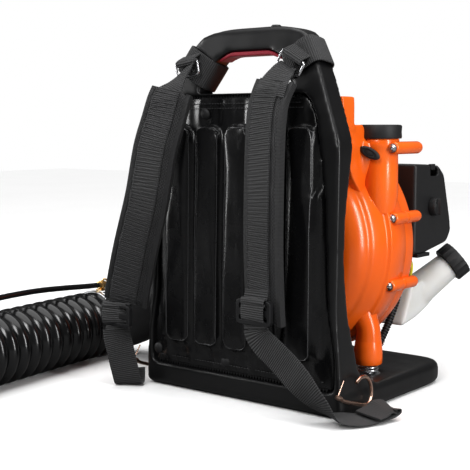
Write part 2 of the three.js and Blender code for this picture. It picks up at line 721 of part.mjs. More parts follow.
function engine() {
  place('crankcase', crankcase(), 'cast');
  place('cylinder', cylinder(), 'cast');
  place('piston', piston(), 'cast');
  place('crankshaft', crankshaft(), 'steel');
  place('flywheel', flywheel(), 'cast');
  place('engine_cover', engineCover(), 'charcoal');
  place('muffler', muffler(), 'cast');
  place('spark_plug', sparkPlug(), 'ceramic');
  place('starter_cover', starterCover(), 'charcoal');
  place('starter_pulley', starterPulley(), 'fan');
  place('starter_rope', rod([-58 - GAP, ROPE_Y, ROPE_Z], [-1, 0, 0], 11.2, 2, 8), 'webbing');
  place('starter_grip', starterGrip(), 'rubber');
  place('carburettor', carburettor(), 'cast');
  place('throttle_lever', join(box(52, 60, 120 + GAP, 123, 226, 250),
    rod([56, 120 + GAP, 229], [0, 1, 0], 8, 4, 12)), 'steel');
  place('choke_lever', join(box(45, 49, 84, 90 - GAP, 215, 240),
    rod([47, 80, 236], [0, 1, 0], 10 - GAP, 4, 12)), 'rubber');
  place('primer_bulb', new THREE.SphereGeometry(8.5, 12, 8).translate(52, 105, 212.4), 'bulb');
  place('filter_base', filterBase(), 'charcoal');
  place('filter_cover', filterCover(), 'charcoal');
  place('filter_knob', filterKnob(), 'rubber');
}

// Duct: elbow, bellows hose and control pipe

const elbowRoute = [[-165.2, -4, OUTLET_Z], [-190, -4, 107.6], [-225, -5, 99], [-258, -9, 83],
  [-289, -19, 66], [-314, -36, 55], [-328, -58, 51.2], [-329, -75, 51]];
const hoseRoute = [[-329.1, -79, 51], [-329.2, -95, PIPE_Z], [-324, -140, PIPE_Z],
  [-314, -210, PIPE_Z], [-305, -270, PIPE_Z], [-294, -350, PIPE_Z], [PIPE_X, -405, PIPE_Z],
  [PIPE_X, -430, PIPE_Z]];

function hollowAlong(route, outer, inner, steps, segments) {
  const long = route.map((p) => [...p]);
  const stretch = (a, b) => a.map((v, i) => v + (v - b[i]) * 0.12);
  long[0] = stretch(route[0], route[1]);
  long[long.length - 1] = stretch(route.at(-1), route.at(-2));
  return cut(along(route, circle(outer), steps, segments),
    along(long, circle(inner), steps, segments));
}

function controlPipe() {
  const profile = [[HOSE_RADIUS - 4, PIPE_START], [HOSE_RADIUS - 4, PIPE_START - 22],
    [PIPE_RADIUS, PIPE_START - 40], [PIPE_RADIUS, PIPE_END + 34], [PIPE_RADIUS + 3, PIPE_END + 32],
    [PIPE_RADIUS + 3, PIPE_END], [PIPE_RADIUS - 3, PIPE_END], [PIPE_RADIUS - 3, PIPE_START - 42],
    [HOSE_RADIUS - 7, PIPE_START - 23], [HOSE_RADIUS - 7, PIPE_START]];
  return turned(profile, 20).translate(PIPE_X, 0, PIPE_Z);
}

// Hand grip on the control pipe, with the trigger on its far side
function controlGrip() {
  const collar = turned([[PIPE_RADIUS + GAP, GRIP_Y - 22], [PIPE_RADIUS + 5, GRIP_Y - 22],
    [PIPE_RADIUS + 5, GRIP_Y + 22], [PIPE_RADIUS + GAP, GRIP_Y + 22]], 24);
  const handle = prismX(roundedOutline([[-16, 40, 3], [18, 40, 3], [16, 80, 10], [20, 118, 6],
    [24, 134, 5], [18, 148, 7], [-26, 148, 7], [-26, 134, 4], [-15, 124, 8], [-13, 80, 10]]),
  -15, 15, 2, 2);
  const boreKeep = rod([0, GRIP_Y - 60, 0], [0, 1, 0], 120, PIPE_RADIUS + GAP, 24);
  const gland = rod([0, GRIP_Y + 14, 56], [0, 1, 0.1], 14, 6, 12);
  return cut(join(collar, handle.translate(0, GRIP_Y, 0), gland), boreKeep)
    .translate(PIPE_X, 0, PIPE_Z);
}

function throttleTrigger() {
  const lever = prismX(roundedOutline([[-31, 128, 3], [-22, 127, 2], [-22, 110, 5], [-29, 88, 3],
    [-35, 86, 2], [-33, 112, 6]]), -7, 7, 2);
  return lever.translate(PIPE_X, GRIP_Y, PIPE_Z);
}

function stopSwitch() {
  return prismX(rectangle(12, 6, 2), -6, 6, 2, 1)
    .translate(PIPE_X, GRIP_Y + 4, PIPE_Z + 148 + 3 + GAP);
}

function cruiseLever() {
  return join(rod([15 + GAP, 8, 138], [1, 0, 0], 6, 8, 16), box(17, 21, 6, 10, 138, 168))
    .translate(PIPE_X, GRIP_Y, PIPE_Z);
}

const cableRoute = [[-327, -62.6, 110], [-327, -76, 110.5], [-326, -100, 112], [-322, -140, 115],
  [-316, -190, 118], [-309, -240, 119], [-302, -290, 118.5], [-296, -335, 117], [-291, -380, 115.5],
  [-288, -425, 115], [-288, -460, 113], [-288, -485, 110.5], [PIPE_X, -506, 108.5]];

function duct() {
  place('outlet_elbow', hollowAlong(elbowRoute, DUCT_RADIUS, DUCT_RADIUS - 4, 7, 6), 'charcoal');
  place('hose', hollowAlong(hoseRoute, HOSE_RADIUS, HOSE_RADIUS - 6.5, 11, 6), 'bellows');
  place('control_pipe', controlPipe(), 'charcoal');
  place('control_grip', controlGrip(), 'rubber');
  place('throttle_trigger', throttleTrigger(), 'charcoal');
  place('stop_switch', stopSwitch(), 'redGrip');
  place('cruise_lever', cruiseLever(), 'charcoal');
  place('cable_clip', box(-332, -322, -62, -48, 103, 116), 'brass');
  place('throttle_cable', along(cableRoute, circle(4), 26, 4), 'rubber');
}

place('frame', frame(), 'frame');
place('handle_insert', handleInsert(), 'redGrip');
place('back_pad', backPad(), 'pad');
place('mount_spring_right', mountSpring(MOUNT_X), 'steel');
place('mount_spring_left', mountSpring(-MOUNT_X), 'steel');
harness();
fan();
engine();
fuelSystem();
duct();

export default blower;
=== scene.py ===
import json
import math

import bmesh
import bpy
import numpy as np
from mathutils import Matrix, Vector
from mathutils.bvhtree import BVHTree


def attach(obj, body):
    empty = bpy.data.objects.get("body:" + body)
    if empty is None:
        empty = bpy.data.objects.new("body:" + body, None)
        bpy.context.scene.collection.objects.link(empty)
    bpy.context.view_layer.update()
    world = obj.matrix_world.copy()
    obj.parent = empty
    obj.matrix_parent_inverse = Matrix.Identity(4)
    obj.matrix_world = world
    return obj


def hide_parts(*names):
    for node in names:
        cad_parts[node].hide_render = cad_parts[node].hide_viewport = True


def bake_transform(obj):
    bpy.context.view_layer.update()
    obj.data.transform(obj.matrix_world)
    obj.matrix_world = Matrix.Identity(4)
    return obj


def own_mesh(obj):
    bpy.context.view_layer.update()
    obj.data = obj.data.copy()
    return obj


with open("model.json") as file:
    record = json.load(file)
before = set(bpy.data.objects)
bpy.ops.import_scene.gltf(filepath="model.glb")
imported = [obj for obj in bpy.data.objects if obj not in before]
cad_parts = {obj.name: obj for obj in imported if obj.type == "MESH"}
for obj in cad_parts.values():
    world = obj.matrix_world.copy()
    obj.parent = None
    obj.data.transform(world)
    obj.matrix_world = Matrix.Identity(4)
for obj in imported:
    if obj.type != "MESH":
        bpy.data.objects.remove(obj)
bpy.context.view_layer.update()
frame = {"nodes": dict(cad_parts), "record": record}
nodes = frame["nodes"]
body_of_node = {node: body for body, held in frame["record"]["behaviour"]["bodies"].items()
                for node in held}
scene = bpy.context.scene

MM = 0.001
WEBBING_RIB = 0.0026  # from rib to rib of a webbing, in metres


# ---------------------------------------------------------------- materials

class Graph:
    """A node tree with short calls for the nodes that the materials share."""

    def __init__(self, name):
        self.mat = bpy.data.materials.new(name)
        self.mat.use_nodes = True
        self.tree = self.mat.node_tree
        self.bsdf = self.tree.nodes["Principled BSDF"]
        self.coord = self.add("ShaderNodeTexCoord").outputs["Object"]
        self.height = None

    def add(self, kind, **values):
        node = self.tree.nodes.new(kind)
        for key, value in values.items():
            if hasattr(node, key) and key not in node.inputs:
                setattr(node, key, value)
            else:
                self.put(node.inputs[key], value)
        return node

    def put(self, socket, value):
        if isinstance(value, bpy.types.NodeSocket):
            self.tree.links.new(value, socket)
        else:
            socket.default_value = value

    def math(self, operation, a, b=0.0):
        node = self.add("ShaderNodeMath", operation=operation)
        self.put(node.inputs[0], a)
        self.put(node.inputs[1], b)
        return node.outputs[0]

    def noise(self, scale, detail=3.0, rough=0.55, stretch=None):
        vector = self.coord
        if stretch:
            node = self.add("ShaderNodeVectorMath", operation="MULTIPLY")
            self.put(node.inputs[0], vector)
            node.inputs[1].default_value = stretch
            vector = node.outputs[0]
        return self.add("ShaderNodeTexNoise", Vector=vector, Scale=scale, Detail=detail,
                        Roughness=rough).outputs["Fac"]

    def range(self, value, low, high, to_low, to_high):
        node = self.add("ShaderNodeMapRange")
        for i, v in enumerate((value, low, high, to_low, to_high)):
            self.put(node.inputs[i], v)
        return node.outputs[0]

    def mix(self, factor, a, b):
        node = self.add("ShaderNodeMix", data_type="RGBA")
        self.put(node.inputs[0], factor)
        self.put(node.inputs[6], a)
        self.put(node.inputs[7], b)
        return node.outputs[2]

    def bump(self, height, distance, strength):
        """Lays relief over the relief that is there already."""
        node = self.add("ShaderNodeBump", Height=height, Distance=distance, Strength=strength)
        if self.height is not None:
            self.put(node.inputs["Normal"], self.height)
        self.height = node.outputs[0]

    def finish(self, **values):
        if self.height is not None:
            self.put(self.bsdf.inputs["Normal"], self.height)
        for key, value in values.items():
            self.put(self.bsdf.inputs[key.replace("_", " ")], value)
        return self.mat


def rgb(color, gain=1.0):
    return tuple(min(1.0, c * gain) for c in color) + (1.0,)


def worn_edge(g):
    """1 along convex edges, broken up by noise, from the surface's own curvature."""
    point = g.add("ShaderNodeNewGeometry").outputs["Pointiness"]
    edge = g.range(point, 0.53, 0.62, 0.0, 1.0)
    return g.math("MULTIPLY", edge, g.range(g.noise(60), 0.35, 0.65, 0.2, 1.0))


def plastic(name, color, rough, grain=0.00012, grain_scale=1400, coat=0.0, wear=0.35):
    """Moulded plastic: fine spark-eroded grain, slow colour drift and rubbed edges."""
    g = Graph(name)
    drift = g.noise(9, 4)
    base = g.mix(g.range(drift, 0.3, 0.7, 0.0, 1.0), rgb(color, 0.88), rgb(color, 1.1))
    rubbed = rgb([c * 1.4 + 0.012 for c in color])
    base = g.mix(g.math("MULTIPLY", worn_edge(g), wear), base, rubbed)
    roughness = g.range(g.noise(35, 5), 0.3, 0.7, rough - 0.05, rough + 0.06)
    if grain:
        g.bump(g.noise(grain_scale, 2), grain, 0.5)
    g.bump(g.noise(14, 2), 0.0006, 0.25)
    return g.finish(Base_Color=base, Roughness=roughness, Coat_Weight=coat, Coat_Roughness=0.08)


def metal(name, color, rough, brushed=(1, 1, 12)):
    """Bare metal with brush lines, stretched by brushed, and dull dirty patches."""
    g = Graph(name)
    lines = g.noise(160, 3, 0.6, brushed)
    patch = g.noise(22, 4)
    base = g.mix(g.range(lines, 0.3, 0.7, 0.0, 1.0), rgb(color, 0.85), rgb(color, 1.08))
    base = g.mix(g.range(patch, 0.58, 0.8, 0.0, 0.5), base, rgb((0.12, 0.11, 0.1)))
    roughness = g.range(patch, 0.3, 0.75, rough - 0.06, rough + 0.16)
    g.bump(lines, 0.00008, 0.5)
    return g.finish(Base_Color=base, Metallic=1.0, Roughness=roughness)


def cloth(name, color, rib=0.0):
    """Woven fabric from the piece's own UV, which counts metres along and across it.
    rib is the pitch of ribs that run across a webbing; 0 gives an open spacer mesh."""
    g = Graph(name)
    uv = g.add("ShaderNodeTexCoord").outputs["UV"]
    u, v = g.add("ShaderNodeSeparateXYZ", Vector=uv).outputs[:2]

    def wave(s, pitch):
        return g.math("SINE", g.math("MULTIPLY", s, 2 * math.pi / pitch))

    if rib:
        coarse, fine = wave(u, rib), wave(v, 0.0011)
    else:
        coarse, fine = (g.math("MULTIPLY", wave(u, pitch), wave(v, pitch))
                        for pitch in (0.0042, 0.0014))
    height = g.math("ADD", g.math("MULTIPLY", coarse, 0.7), g.math("MULTIPLY", fine, 0.3))
    g.bump(height, 0.0005 if rib else 0.0006, 0.9)
    fuzz = g.noise(900, 4)
    g.bump(fuzz, 0.00025, 0.5)
    # Painted shade and painted highlight: the colour is darker in the valleys of the weave and
    # lighter on its raised ribs and threads.
    painted_rib_shade = g.range(height, -0.9, 0.9, 0.0, 1.0)
    base = g.mix(painted_rib_shade, rgb(color, 0.22), rgb(color, 2.1))
    faded = rgb([c * 1.5 + 0.005 for c in color])
    base = g.mix(g.range(g.noise(18, 5), 0.5, 0.8, 0.0, 0.3), base, faded)
    fibre = rgb([c * 1.6 + 0.008 for c in color])
    base = g.mix(g.range(fuzz, 0.62, 0.8, 0.0, 0.5), base, fibre)
    return g.finish(Base_Color=base, Roughness=0.7, Sheen_Weight=0.05, Sheen_Roughness=0.5)


def vinyl(name, color, rough=0.24):
    """Glossy coated fabric: soft grain, shallow ripples and scuffs."""
    g = Graph(name)
    cells = g.add("ShaderNodeTexVoronoi", Vector=g.coord, Scale=900.0).outputs["Distance"]
    g.bump(cells, 0.00012, 0.35)
    g.bump(g.noise(45, 3), 0.0006, 0.12)
    scuff = g.range(g.noise(70, 6, 0.7, (1, 1, 0.25)), 0.58, 0.75, 0.0, 1.0)
    base = g.mix(scuff, rgb(color), rgb([c * 1.6 + 0.004 for c in color]))
    roughness = g.math("ADD", g.range(g.noise(30, 4), 0.3, 0.7, rough - 0.05, rough + 0.07),
                       g.math("MULTIPLY", scuff, 0.12))
    return g.finish(Base_Color=base, Roughness=roughness, Specular_IOR_Level=0.42)


def translucent(name, color):
    """Natural polyethylene: light goes some way in, with faint flow marks."""
    g = Graph(name)
    base = g.mix(g.range(g.noise(16, 4), 0.3, 0.7, 0.0, 1.0), rgb(color, 0.93), rgb(color, 1.05))
    g.bump(g.noise(700, 2), 0.0001, 0.4)
    mat = g.finish(Base_Color=base, Roughness=g.range(g.noise(25), 0.3, 0.7, 0.33, 0.45),
                   Subsurface_Weight=0.7, Subsurface_Scale=0.02, Specular_IOR_Level=0.4)
    g.bsdf.inputs["Subsurface Radius"].default_value = (1.0, 0.95, 0.85)
    return mat


MATERIALS = {
    "frame": plastic("satin black moulding", (0.005, 0.005, 0.0055), 0.36, 0.00003, 1100),
    "red": plastic("maroon grip", (0.30, 0.012, 0.03), 0.45, 0.0002, 900, wear=0.2),
    "pad": vinyl("black vinyl", (0.005, 0.005, 0.0055), 0.26),
    # Lighter than the pad's vinyl: a painted highlight for the welded edges round the pad's ribs.
    "welt_painted_highlight": vinyl("welded edge with painted highlight", (0.05, 0.05, 0.052)),
    "mesh": cloth("spacer mesh", (0.025, 0.025, 0.026)),
    "binding": cloth("edge binding", (0.020, 0.020, 0.021), rib=0.0016),
    "webbing": cloth("ribbed webbing", (0.030, 0.030, 0.031), rib=WEBBING_RIB),
    "buckle": plastic("black acetal", (0.014, 0.014, 0.015), 0.35, 0.00005, 1600),
    "steel": metal("zinc-plated steel", (0.72, 0.72, 0.74), 0.24),
    "copper": metal("copper-washed wire", (0.72, 0.50, 0.40), 0.22),
    "brass": metal("brass", (0.72, 0.50, 0.22), 0.28),
    "cast": metal("die-cast aluminium", (0.52, 0.53, 0.55), 0.48, (1, 1, 1)),
    "orange": plastic("orange moulding", (1.0, 0.165, 0.012), 0.22, 0.00002, 900, coat=0.12,
                      wear=0.06),
    "charcoal": plastic("charcoal moulding", (0.014, 0.014, 0.015), 0.46, 0.00014, 900),
    "rubber": plastic("black rubber", (0.011, 0.011, 0.012), 0.55, 0.00012, 1300, wear=0.15),
    "gloss": plastic("glossy black hose", (0.005, 0.005, 0.0055), 0.2, 0.00002, 900, coat=0.1,
                     wear=0.06),
    "nylon": plastic("dark nylon", (0.04, 0.04, 0.043), 0.45),
    "ceramic": plastic("glazed insulator", (0.75, 0.72, 0.66), 0.15, 0, wear=0.0),
    "tank": translucent("natural polyethylene", (0.80, 0.80, 0.78)),
    "yellow": plastic("fuel tubing", (0.78, 0.68, 0.04), 0.25, 0.00003, 900),
    "clear": translucent("primer bulb", (0.55, 0.60, 0.60)),
    "thread": plastic("sewing thread", (0.035, 0.035, 0.037), 0.6, 0.0002, 3000),
}


# ---------------------------------------------------------------- mesh tools

def unit(v):
    v = np.asarray(v, float)
    return v / np.maximum(np.linalg.norm(v, axis=-1, keepdims=True), 1e-12)


def linked(name, data):
    obj = bpy.data.objects.new(name, data)
    scene.collection.objects.link(obj)
    return obj


def spline(points, count):
    """count points, evenly spaced in metres, along a smooth curve through points in millimetres.
    Numbers after a point's first three go along with it."""
    p = np.array(points, float)
    p[:, :3] *= MM
    e = np.vstack([2 * p[0] - p[1], p, 2 * p[-1] - p[-2]])
    t = np.linspace(0, 1, 24, endpoint=False)[:, None]
    out = [0.5 * (2 * b + (c - a) * t + (2 * a - 5 * b + 4 * c - d) * t ** 2
                  + (3 * b - a - 3 * c + d) * t ** 3)
           for a, b, c, d in zip(e, e[1:], e[2:], e[3:])]
    out = np.vstack(out + [p[-1:]])
    s = np.r_[0, np.cumsum(np.linalg.norm(np.diff(out[:, :3], axis=0), axis=1))]
    at = np.linspace(0, s[-1], count)
    return np.stack([np.interp(at, s, column) for column in out.T], 1)


def frames(p, across=None):
    """Tangent, side and up at each point. Without a given side it turns as little as it can."""
    t = unit(np.gradient(p[:, :3], axis=0))
    if across is None:
        across = np.empty_like(t)
        side = np.cross(t[0], (0, 0, 1) if abs(t[0][2]) < 0.8 else (0, 1, 0))
        for i, direction in enumerate(t):
            side = unit(side - direction * side.dot(direction))
            across[i] = side
    side = unit(across - t * (across * t).sum(1)[:, None])
    return t, side, np.cross(t, side)


def build(name, verts, faces, uvs=None):
    mesh = bpy.data.meshes.new(name)
    mesh.from_pydata([tuple(v) for v in verts], [], faces)
    if uvs is not None:
        layer = mesh.uv_layers.new(name="UVMap")
        layer.data.foreach_set("uv", np.asarray(uvs, np.float32).ravel())
    bm = bmesh.new()
    bm.from_mesh(mesh)
    bmesh.ops.recalc_face_normals(bm, faces=bm.faces)
    bm.to_mesh(mesh)
    bm.free()
    for polygon in mesh.polygons:
        polygon.use_smooth = True
    return linked(name, mesh)


def loft(name, rings, sharp=40):
    """A closed skin over rings of points, with UVs in metres along and round it.
    Edges that turn more than sharp degrees stay crisp."""
    rings = np.asarray(rings, float)
    n, m = rings.shape[:2]
    u = np.r_[0, np.cumsum(np.linalg.norm(np.diff(rings.mean(1), axis=0), axis=1))]
    around = np.vstack([rings[n // 2], rings[n // 2][:1]])
    v = np.r_[0, np.cumsum(np.linalg.norm(np.diff(around, axis=0), axis=1))]
    faces, uvs = [], []
    for i in range(n - 1):
        for j in range(m):
            k = (j + 1) % m
            faces.append((i * m + j, i * m + k, (i + 1) * m + k, (i + 1) * m + j))
            uvs += [(u[i], v[j]), (u[i], v[j + 1]), (u[i + 1], v[j + 1]), (u[i + 1], v[j])]
    faces += [tuple(range(m)), tuple(range((n - 1) * m, n * m))]
    uvs += [(0, 0)] * (2 * m)
    obj = build(name, rings.reshape(-1, 3), faces, uvs)
    obj.data.set_sharp_from_angle(angle=math.radians(sharp))
    return obj


def tube(name, points, radius, sides):
    """A round rod along points; its radius is one number or one for each point."""
    p = np.asarray(points, float)[:, :3]
    _, side, up = frames(p)
    r = np.broadcast_to(radius, len(p))[:, None, None]
    a = np.linspace(0, 2 * math.pi, sides, endpoint=False)[None, :, None]
    return loft(name, p[:, None] + r * (np.cos(a) * side[:, None] + np.sin(a) * up[:, None]))


def lathe(name, profile, origin, axis, sides, sharp=40):
    """A turned body: profile rows are (radius, height along the axis), in millimetres."""
    axis = unit(axis)
    p = np.array(profile, float) * MM
    side = unit(np.cross(axis, (0, 0, 1) if abs(axis[2]) < 0.8 else (1, 0, 0)))
    up = np.cross(axis, side)
    a = np.linspace(0, 2 * math.pi, sides, endpoint=False)[None, :, None]
    ring = np.cos(a) * side + np.sin(a) * up
    centre = np.array(origin, float) * MM + p[:, 1:2] * axis
    radius = np.maximum(p[:, 0], 1e-5)
    return loft(name, centre[:, None] + radius[:, None, None] * ring, sharp=sharp)


def strip(name, route, width, profile, count, wave=None):
    """A band along a route whose rows are a point and the direction of its width.
    profile rows are (share of the half width, height), going once round the section, and
    wave gives the height that each point of each ring gets on top."""
    p = spline(route, count)
    t, side, up = frames(p, p[:, 3:6])
    section = np.array(profile, float)
    half = np.broadcast_to(width, count)[:, None] * MM / 2
    rise = section[:, 1][None] * MM
    if wave is not None:
        rise = rise + wave(p, section) * MM
    rings = (p[:, None, :3] + (half * section[:, 0][None])[..., None] * side[:, None]
             + rise[..., None] * up[:, None])
    return loft(name, rings)


def prism(name, outline, low, high, plane="xz"):
    """An outline in millimetres, pushed along the third axis."""
    order = {"xz": (0, 2, 1), "yz": (2, 0, 1), "xy": (0, 1, 2)}[plane]
    rings = []
    for level in (low, high):
        rows = np.array([(a, b, level) for a, b in outline], float) * MM
        rings.append(rows[:, order])
    return loft(name, rings, sharp=30)


def block(name, centre, size):
    x, y, z = (s / 2 for s in size)
    obj = prism(name, [(-x, -y), (x, -y), (x, y), (-x, y)], -z, z, "xy")
    obj.data.transform(Matrix.Translation(Vector(centre) * MM))
    return obj


def joined(name, objs):
    """The objects as one, in their place."""
    bm = bmesh.new()
    for o in objs:
        o.data.transform(o.matrix_world)
        bm.from_mesh(o.data)
        bpy.data.objects.remove(o)
    mesh = bpy.data.meshes.new(name)
    bm.to_mesh(mesh)
    bm.free()
    return linked(name, mesh)


def applied(obj, *modifiers):
    """Adds modifiers, given as (kind, {setting: value}), and makes their result the mesh."""
    for kind, settings in modifiers:
        mod = obj.modifiers.new(kind, kind)
        for key, value in settings.items():
            setattr(mod, key, value)
    bpy.context.view_layer.update()
    mesh = bpy.data.meshes.new_from_object(
        obj.evaluated_get(bpy.context.evaluated_depsgraph_get()))
    obj.modifiers.clear()
    obj.data = mesh
    return obj


def copied(node, name):
    """A CAD node's mesh as a new object, with its corners shared between faces."""
    bm = bmesh.new()
    bm.from_mesh(nodes[node].data)
    bm.transform(nodes[node].matrix_world)
    bmesh.ops.remove_doubles(bm, verts=bm.verts, dist=2e-6)
    mesh = bpy.data.meshes.new(name)
    bm.to_mesh(mesh)
    bm.free()
    return linked(name, mesh)


def softened(obj, voxel, rounds):
    """The same solid with melted edges, as a moulding has."""
    applied(obj, ("REMESH", {"mode": "VOXEL", "voxel_size": voxel * MM}),
            ("SMOOTH", {"factor": 0.5, "iterations": rounds}))
    obj.data.polygons.foreach_set("use_smooth", [True] * len(obj.data.polygons))
    return obj


def piece(obj, material, *replaced, body=None):
    obj.data.materials.clear()
    obj.data.materials.append(MATERIALS[material])
    if body is None:
        body = body_of_node[replaced[0]] if replaced else "root"
    if body:
        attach(obj, body)
    if replaced:
        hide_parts(*replaced)
    return obj


def moulded(node, material, voxel, rounds):
    """A CAD node with the soft edges of a moulding."""
    return piece(softened(copied(node, node + "_skin"), voxel, rounds), material, node)


def crisp(node, material, bevel, angle=35):
    """A CAD node with small machined edge radii."""
    obj = applied(copied(node, node + "_skin"), ("BEVEL", {
        "width": bevel * MM, "segments": 2, "limit_method": "ANGLE",
        "angle_limit": math.radians(angle)}))
    obj.data.polygons.foreach_set("use_smooth", [True] * len(obj.data.polygons))
    obj.data.set_sharp_from_angle(angle=math.radians(angle))
    return piece(obj, material, node)


def inflated(obj, pinned, cap, pressure=4.0):
    """Cloth under pressure for 20 steps, which moves a point by up to cap millimetres.
    pinned says which points are sewn down."""
    start = np.array([v.co for v in obj.data.vertices])
    group = obj.vertex_groups.new(name="sewn")
    for i in np.flatnonzero(pinned(start)):
        group.add([int(i)], 1.0, "REPLACE")
    mod = obj.modifiers.new("Cloth", "CLOTH")
    mod.settings.quality = 5
    mod.settings.mass = 0.3
    mod.settings.use_pressure = True
    mod.settings.uniform_pressure_force = pressure
    mod.settings.vertex_group_mass = "sewn"
    mod.settings.effector_weights.gravity = 0
    mod.settings.tension_stiffness = mod.settings.compression_stiffness = 25
    mod.settings.bending_stiffness = 0.6
    mod.collision_settings.use_self_collision = False
    for step in range(1, 21):
        scene.frame_set(step)
    graph = bpy.context.evaluated_depsgraph_get()
    moved = np.array([v.co for v in obj.evaluated_get(graph).data.vertices]) - start
    size = np.linalg.norm(moved, axis=1, keepdims=True)
    moved *= np.minimum(1, cap * MM / np.maximum(size, 1e-9))
    obj.modifiers.clear()
    scene.frame_set(1)
    obj.data.vertices.foreach_set("co", (start + moved).ravel())
    obj.data.update()
    return obj


def stitches(name, path, pitch, length, radius):
    """Thread laid in short runs along a row of points, all as one piece."""
    p = np.asarray(path, float)[:, :3]
    s = np.r_[0, np.cumsum(np.linalg.norm(np.diff(p, axis=0), axis=1))]
    parts = []
    for i in range(int(s[-1] / (pitch * MM))):
        at = (i + 0.25) * pitch * MM + np.array([0, 0.5, 1]) * length * MM
        q = np.stack([np.interp(at, s, column) for column in p.T], 1)
        parts.append(tube(name, q, np.array([0.6, 1, 0.6]) * radius * MM, 6))
    return joined(name, parts)


# ---------------------------------------------------------------- back frame and pad

piece(softened(copied("frame", "frame_skin"), 2.4, 14), "frame", "frame")
moulded("handle_insert", "red", 1.5, 3)
piece(lathe("handle_button", [(0, -2), (6.5, -2), (6.5, 1.2), (5, 2.6), (0, 3)],
            (26, -87, 474.6), (0, 0, 1), 32), "rubber")

KINK_Z = 330  # the height above which the pad leans back
LEAN = 0.2123  # how far back it goes for each millimetre up
PAD_RIB = 48.5  # from rib to rib of the pad
CORNER = 10  # radius of a rib's corners


def pad_side(z):
    """Half width of the back pad at a height, in millimetres."""
    return float(np.interp(z, [32, 74, 130, 263, 312, 358, 388],
                           [146, 146, 136, 131, 126, 115, 96]))


def front_y(z, y=-131.0):
    """The pad's band surface, which leans back above the frame's kink."""
    return y + np.maximum(0.0, z - KINK_Z) * LEAN


def pad_rim(p):
    """The pad's back and its upper and lower bands, which don't swell."""
    _, y, z = p.T / MM
    return (y > front_y(z, -126.2)) | (z < 40) | (z > 379)


pad = softened(copied("back_pad", "back_pad_vinyl"), 3.4, 2)
inflated(pad, pad_rim, 2.0, 1.4)
applied(pad, ("SUBSURF", {"levels": 1, "render_levels": 1}))
co = np.array([v.co for v in pad.data.vertices]) / MM
facing = np.clip((front_y(co[:, 2]) + 6 - co[:, 1]) / 8, 0, 1)
near_top = np.clip((co[:, 2] - 338) / 20, 0, 1) * np.clip((388 - co[:, 2]) / 10, 0, 1)
near_low = np.clip((84 - co[:, 2]) / 20, 0, 1) * np.clip((co[:, 2] - 32) / 10, 0, 1)
crease = (np.cos(co[:, 0] * 2 * math.pi / PAD_RIB)
          + 0.5 * np.cos(co[:, 0] * 0.31 + co[:, 2] * 0.05))
waves = 0.25 * np.sin(co[:, 2] * 0.03 + np.round(co[:, 0] / PAD_RIB) * 1.7)
co[:, 1] += facing * ((near_top + near_low) * crease * 1.5 + waves
                      + 0.12 * np.sin(co[:, 0] * 0.19 + co[:, 2] * 0.06))
pad.data.vertices.foreach_set("co", (co * MM).ravel())
piece(pad, "pad", "back_pad")

# A thin welded edge stands round each rib of the pad. It is coloured lighter than the pad as a
# painted highlight along the rib edges.
surface = BVHTree.FromPolygons([v.co for v in pad.data.vertices],
                               [p.vertices for p in pad.data.polygons])
welts = []
for i in range(-2, 3):
    middle, half, low, high = PAD_RIB * i, 17.9, 67.5, 348.5
    outline = []
    inner, top, bottom = half - CORNER, high - CORNER, low + CORNER
    for quarter, (x, z) in enumerate(((inner, top), (-inner, top),
                                      (-inner, bottom), (inner, bottom))):
        for turn in (quarter + np.linspace(0, 1, 7)) * math.pi / 2:
            outline.append((middle + x + CORNER * math.cos(turn), z + CORNER * math.sin(turn)))
        if quarter == 1:
            outline += [(middle - half, z) for z in np.linspace(high - 16, low + 16, 24)]
        if quarter == 3:
            outline += [(middle + half, z) for z in np.linspace(low + 16, high - 16, 24)]
    path = []
    for x, z in outline + outline[:1]:
        hit = surface.ray_cast(Vector((x, -250, z)) * MM, Vector((0, 1, 0)))[0]
        if hit:
            path.append(tuple(hit + Vector((0, -0.0001, 0))))
    welts.append(tube("welt_painted_highlight", np.array(path), 0.0007, 8))
piece(joined("pad_welts", welts), "welt_painted_highlight")

# Pinked edges and stitching run along the top and the bottom of the pad.
teeth = []
for level, sign in ((387.0, 1), (33.0, -1)):
    half = pad_side(level) - 8
    count = int(2 * half / 4.4)
    y = front_y(level, -130.2)
    root, tip = level - 2 * sign, level + 2.4 * sign
    for i in range(count):
        x = -half + (i + 0.5) * 2 * half / count
        tooth = [(x - 2, root), (x + 2, root), (x + 0.3, tip), (x - 0.3, tip)]
        teeth.append(prism("tooth", tooth, y - 1.0, y + 1.0))
piece(joined("pad_pinked_edge", teeth), "pad")
seams = []
for level in (379.0, 373.0, 43.0):
    half = pad_side(level) - 10
    line = [(x, front_y(level, -132.4), level) for x in np.linspace(-half, half, 12)]
    seams.append(stitches("seam", spline(line, 60), 4.4, 3.2, 0.55))
piece(joined("pad_stitching", seams), "thread")
rivets = [lathe("rivet", [(0, 0), (7.2, 0), (7.4, 1.0), (6.2, 2.4), (3.5, 3.5), (0.1, 4.0)],
                (x, front_y(z, -131.5), z), (0, -1, -0.2 if z > 330 else 0), 28)
          for x, z in ((-60, 366), (60, 366), (-138, 50), (-20, 47), (100, 47))]
piece(joined("pad_rivets", rivets), "rubber")

# ---------------------------------------------------------------- harness

PADDED = [(-1.0, 0), (-0.97, 2.3), (-0.88, 4.2), (-0.6, 5.2), (-0.25, 5.6), (0, 5.7), (0.25, 5.6),
          (0.6, 5.2), (0.88, 4.2), (0.97, 2.3), (1.0, 0), (0.97, -2.3), (0.88, -4.2), (0.6, -4.8),
          (0.25, -5.0), (0, -5.0), (-0.25, -5.0), (-0.6, -4.8), (-0.88, -4.2), (-0.97, -2.3)]
FLAT = [(-1, 0), (-0.98, 0.7), (-0.9, 0.95), (-0.5, 1), (0, 1), (0.5, 1), (0.9, 0.95), (0.98, 0.7),
        (1, 0), (0.98, -0.7), (0.9, -0.95), (0.5, -1), (0, -1), (-0.5, -1), (-0.9, -0.95),
        (-0.98, -0.7)]
PINNED = [i for i, (a, _) in enumerate(PADDED) if abs(a) > 0.93 or 0.5 < abs(a) < 0.7]
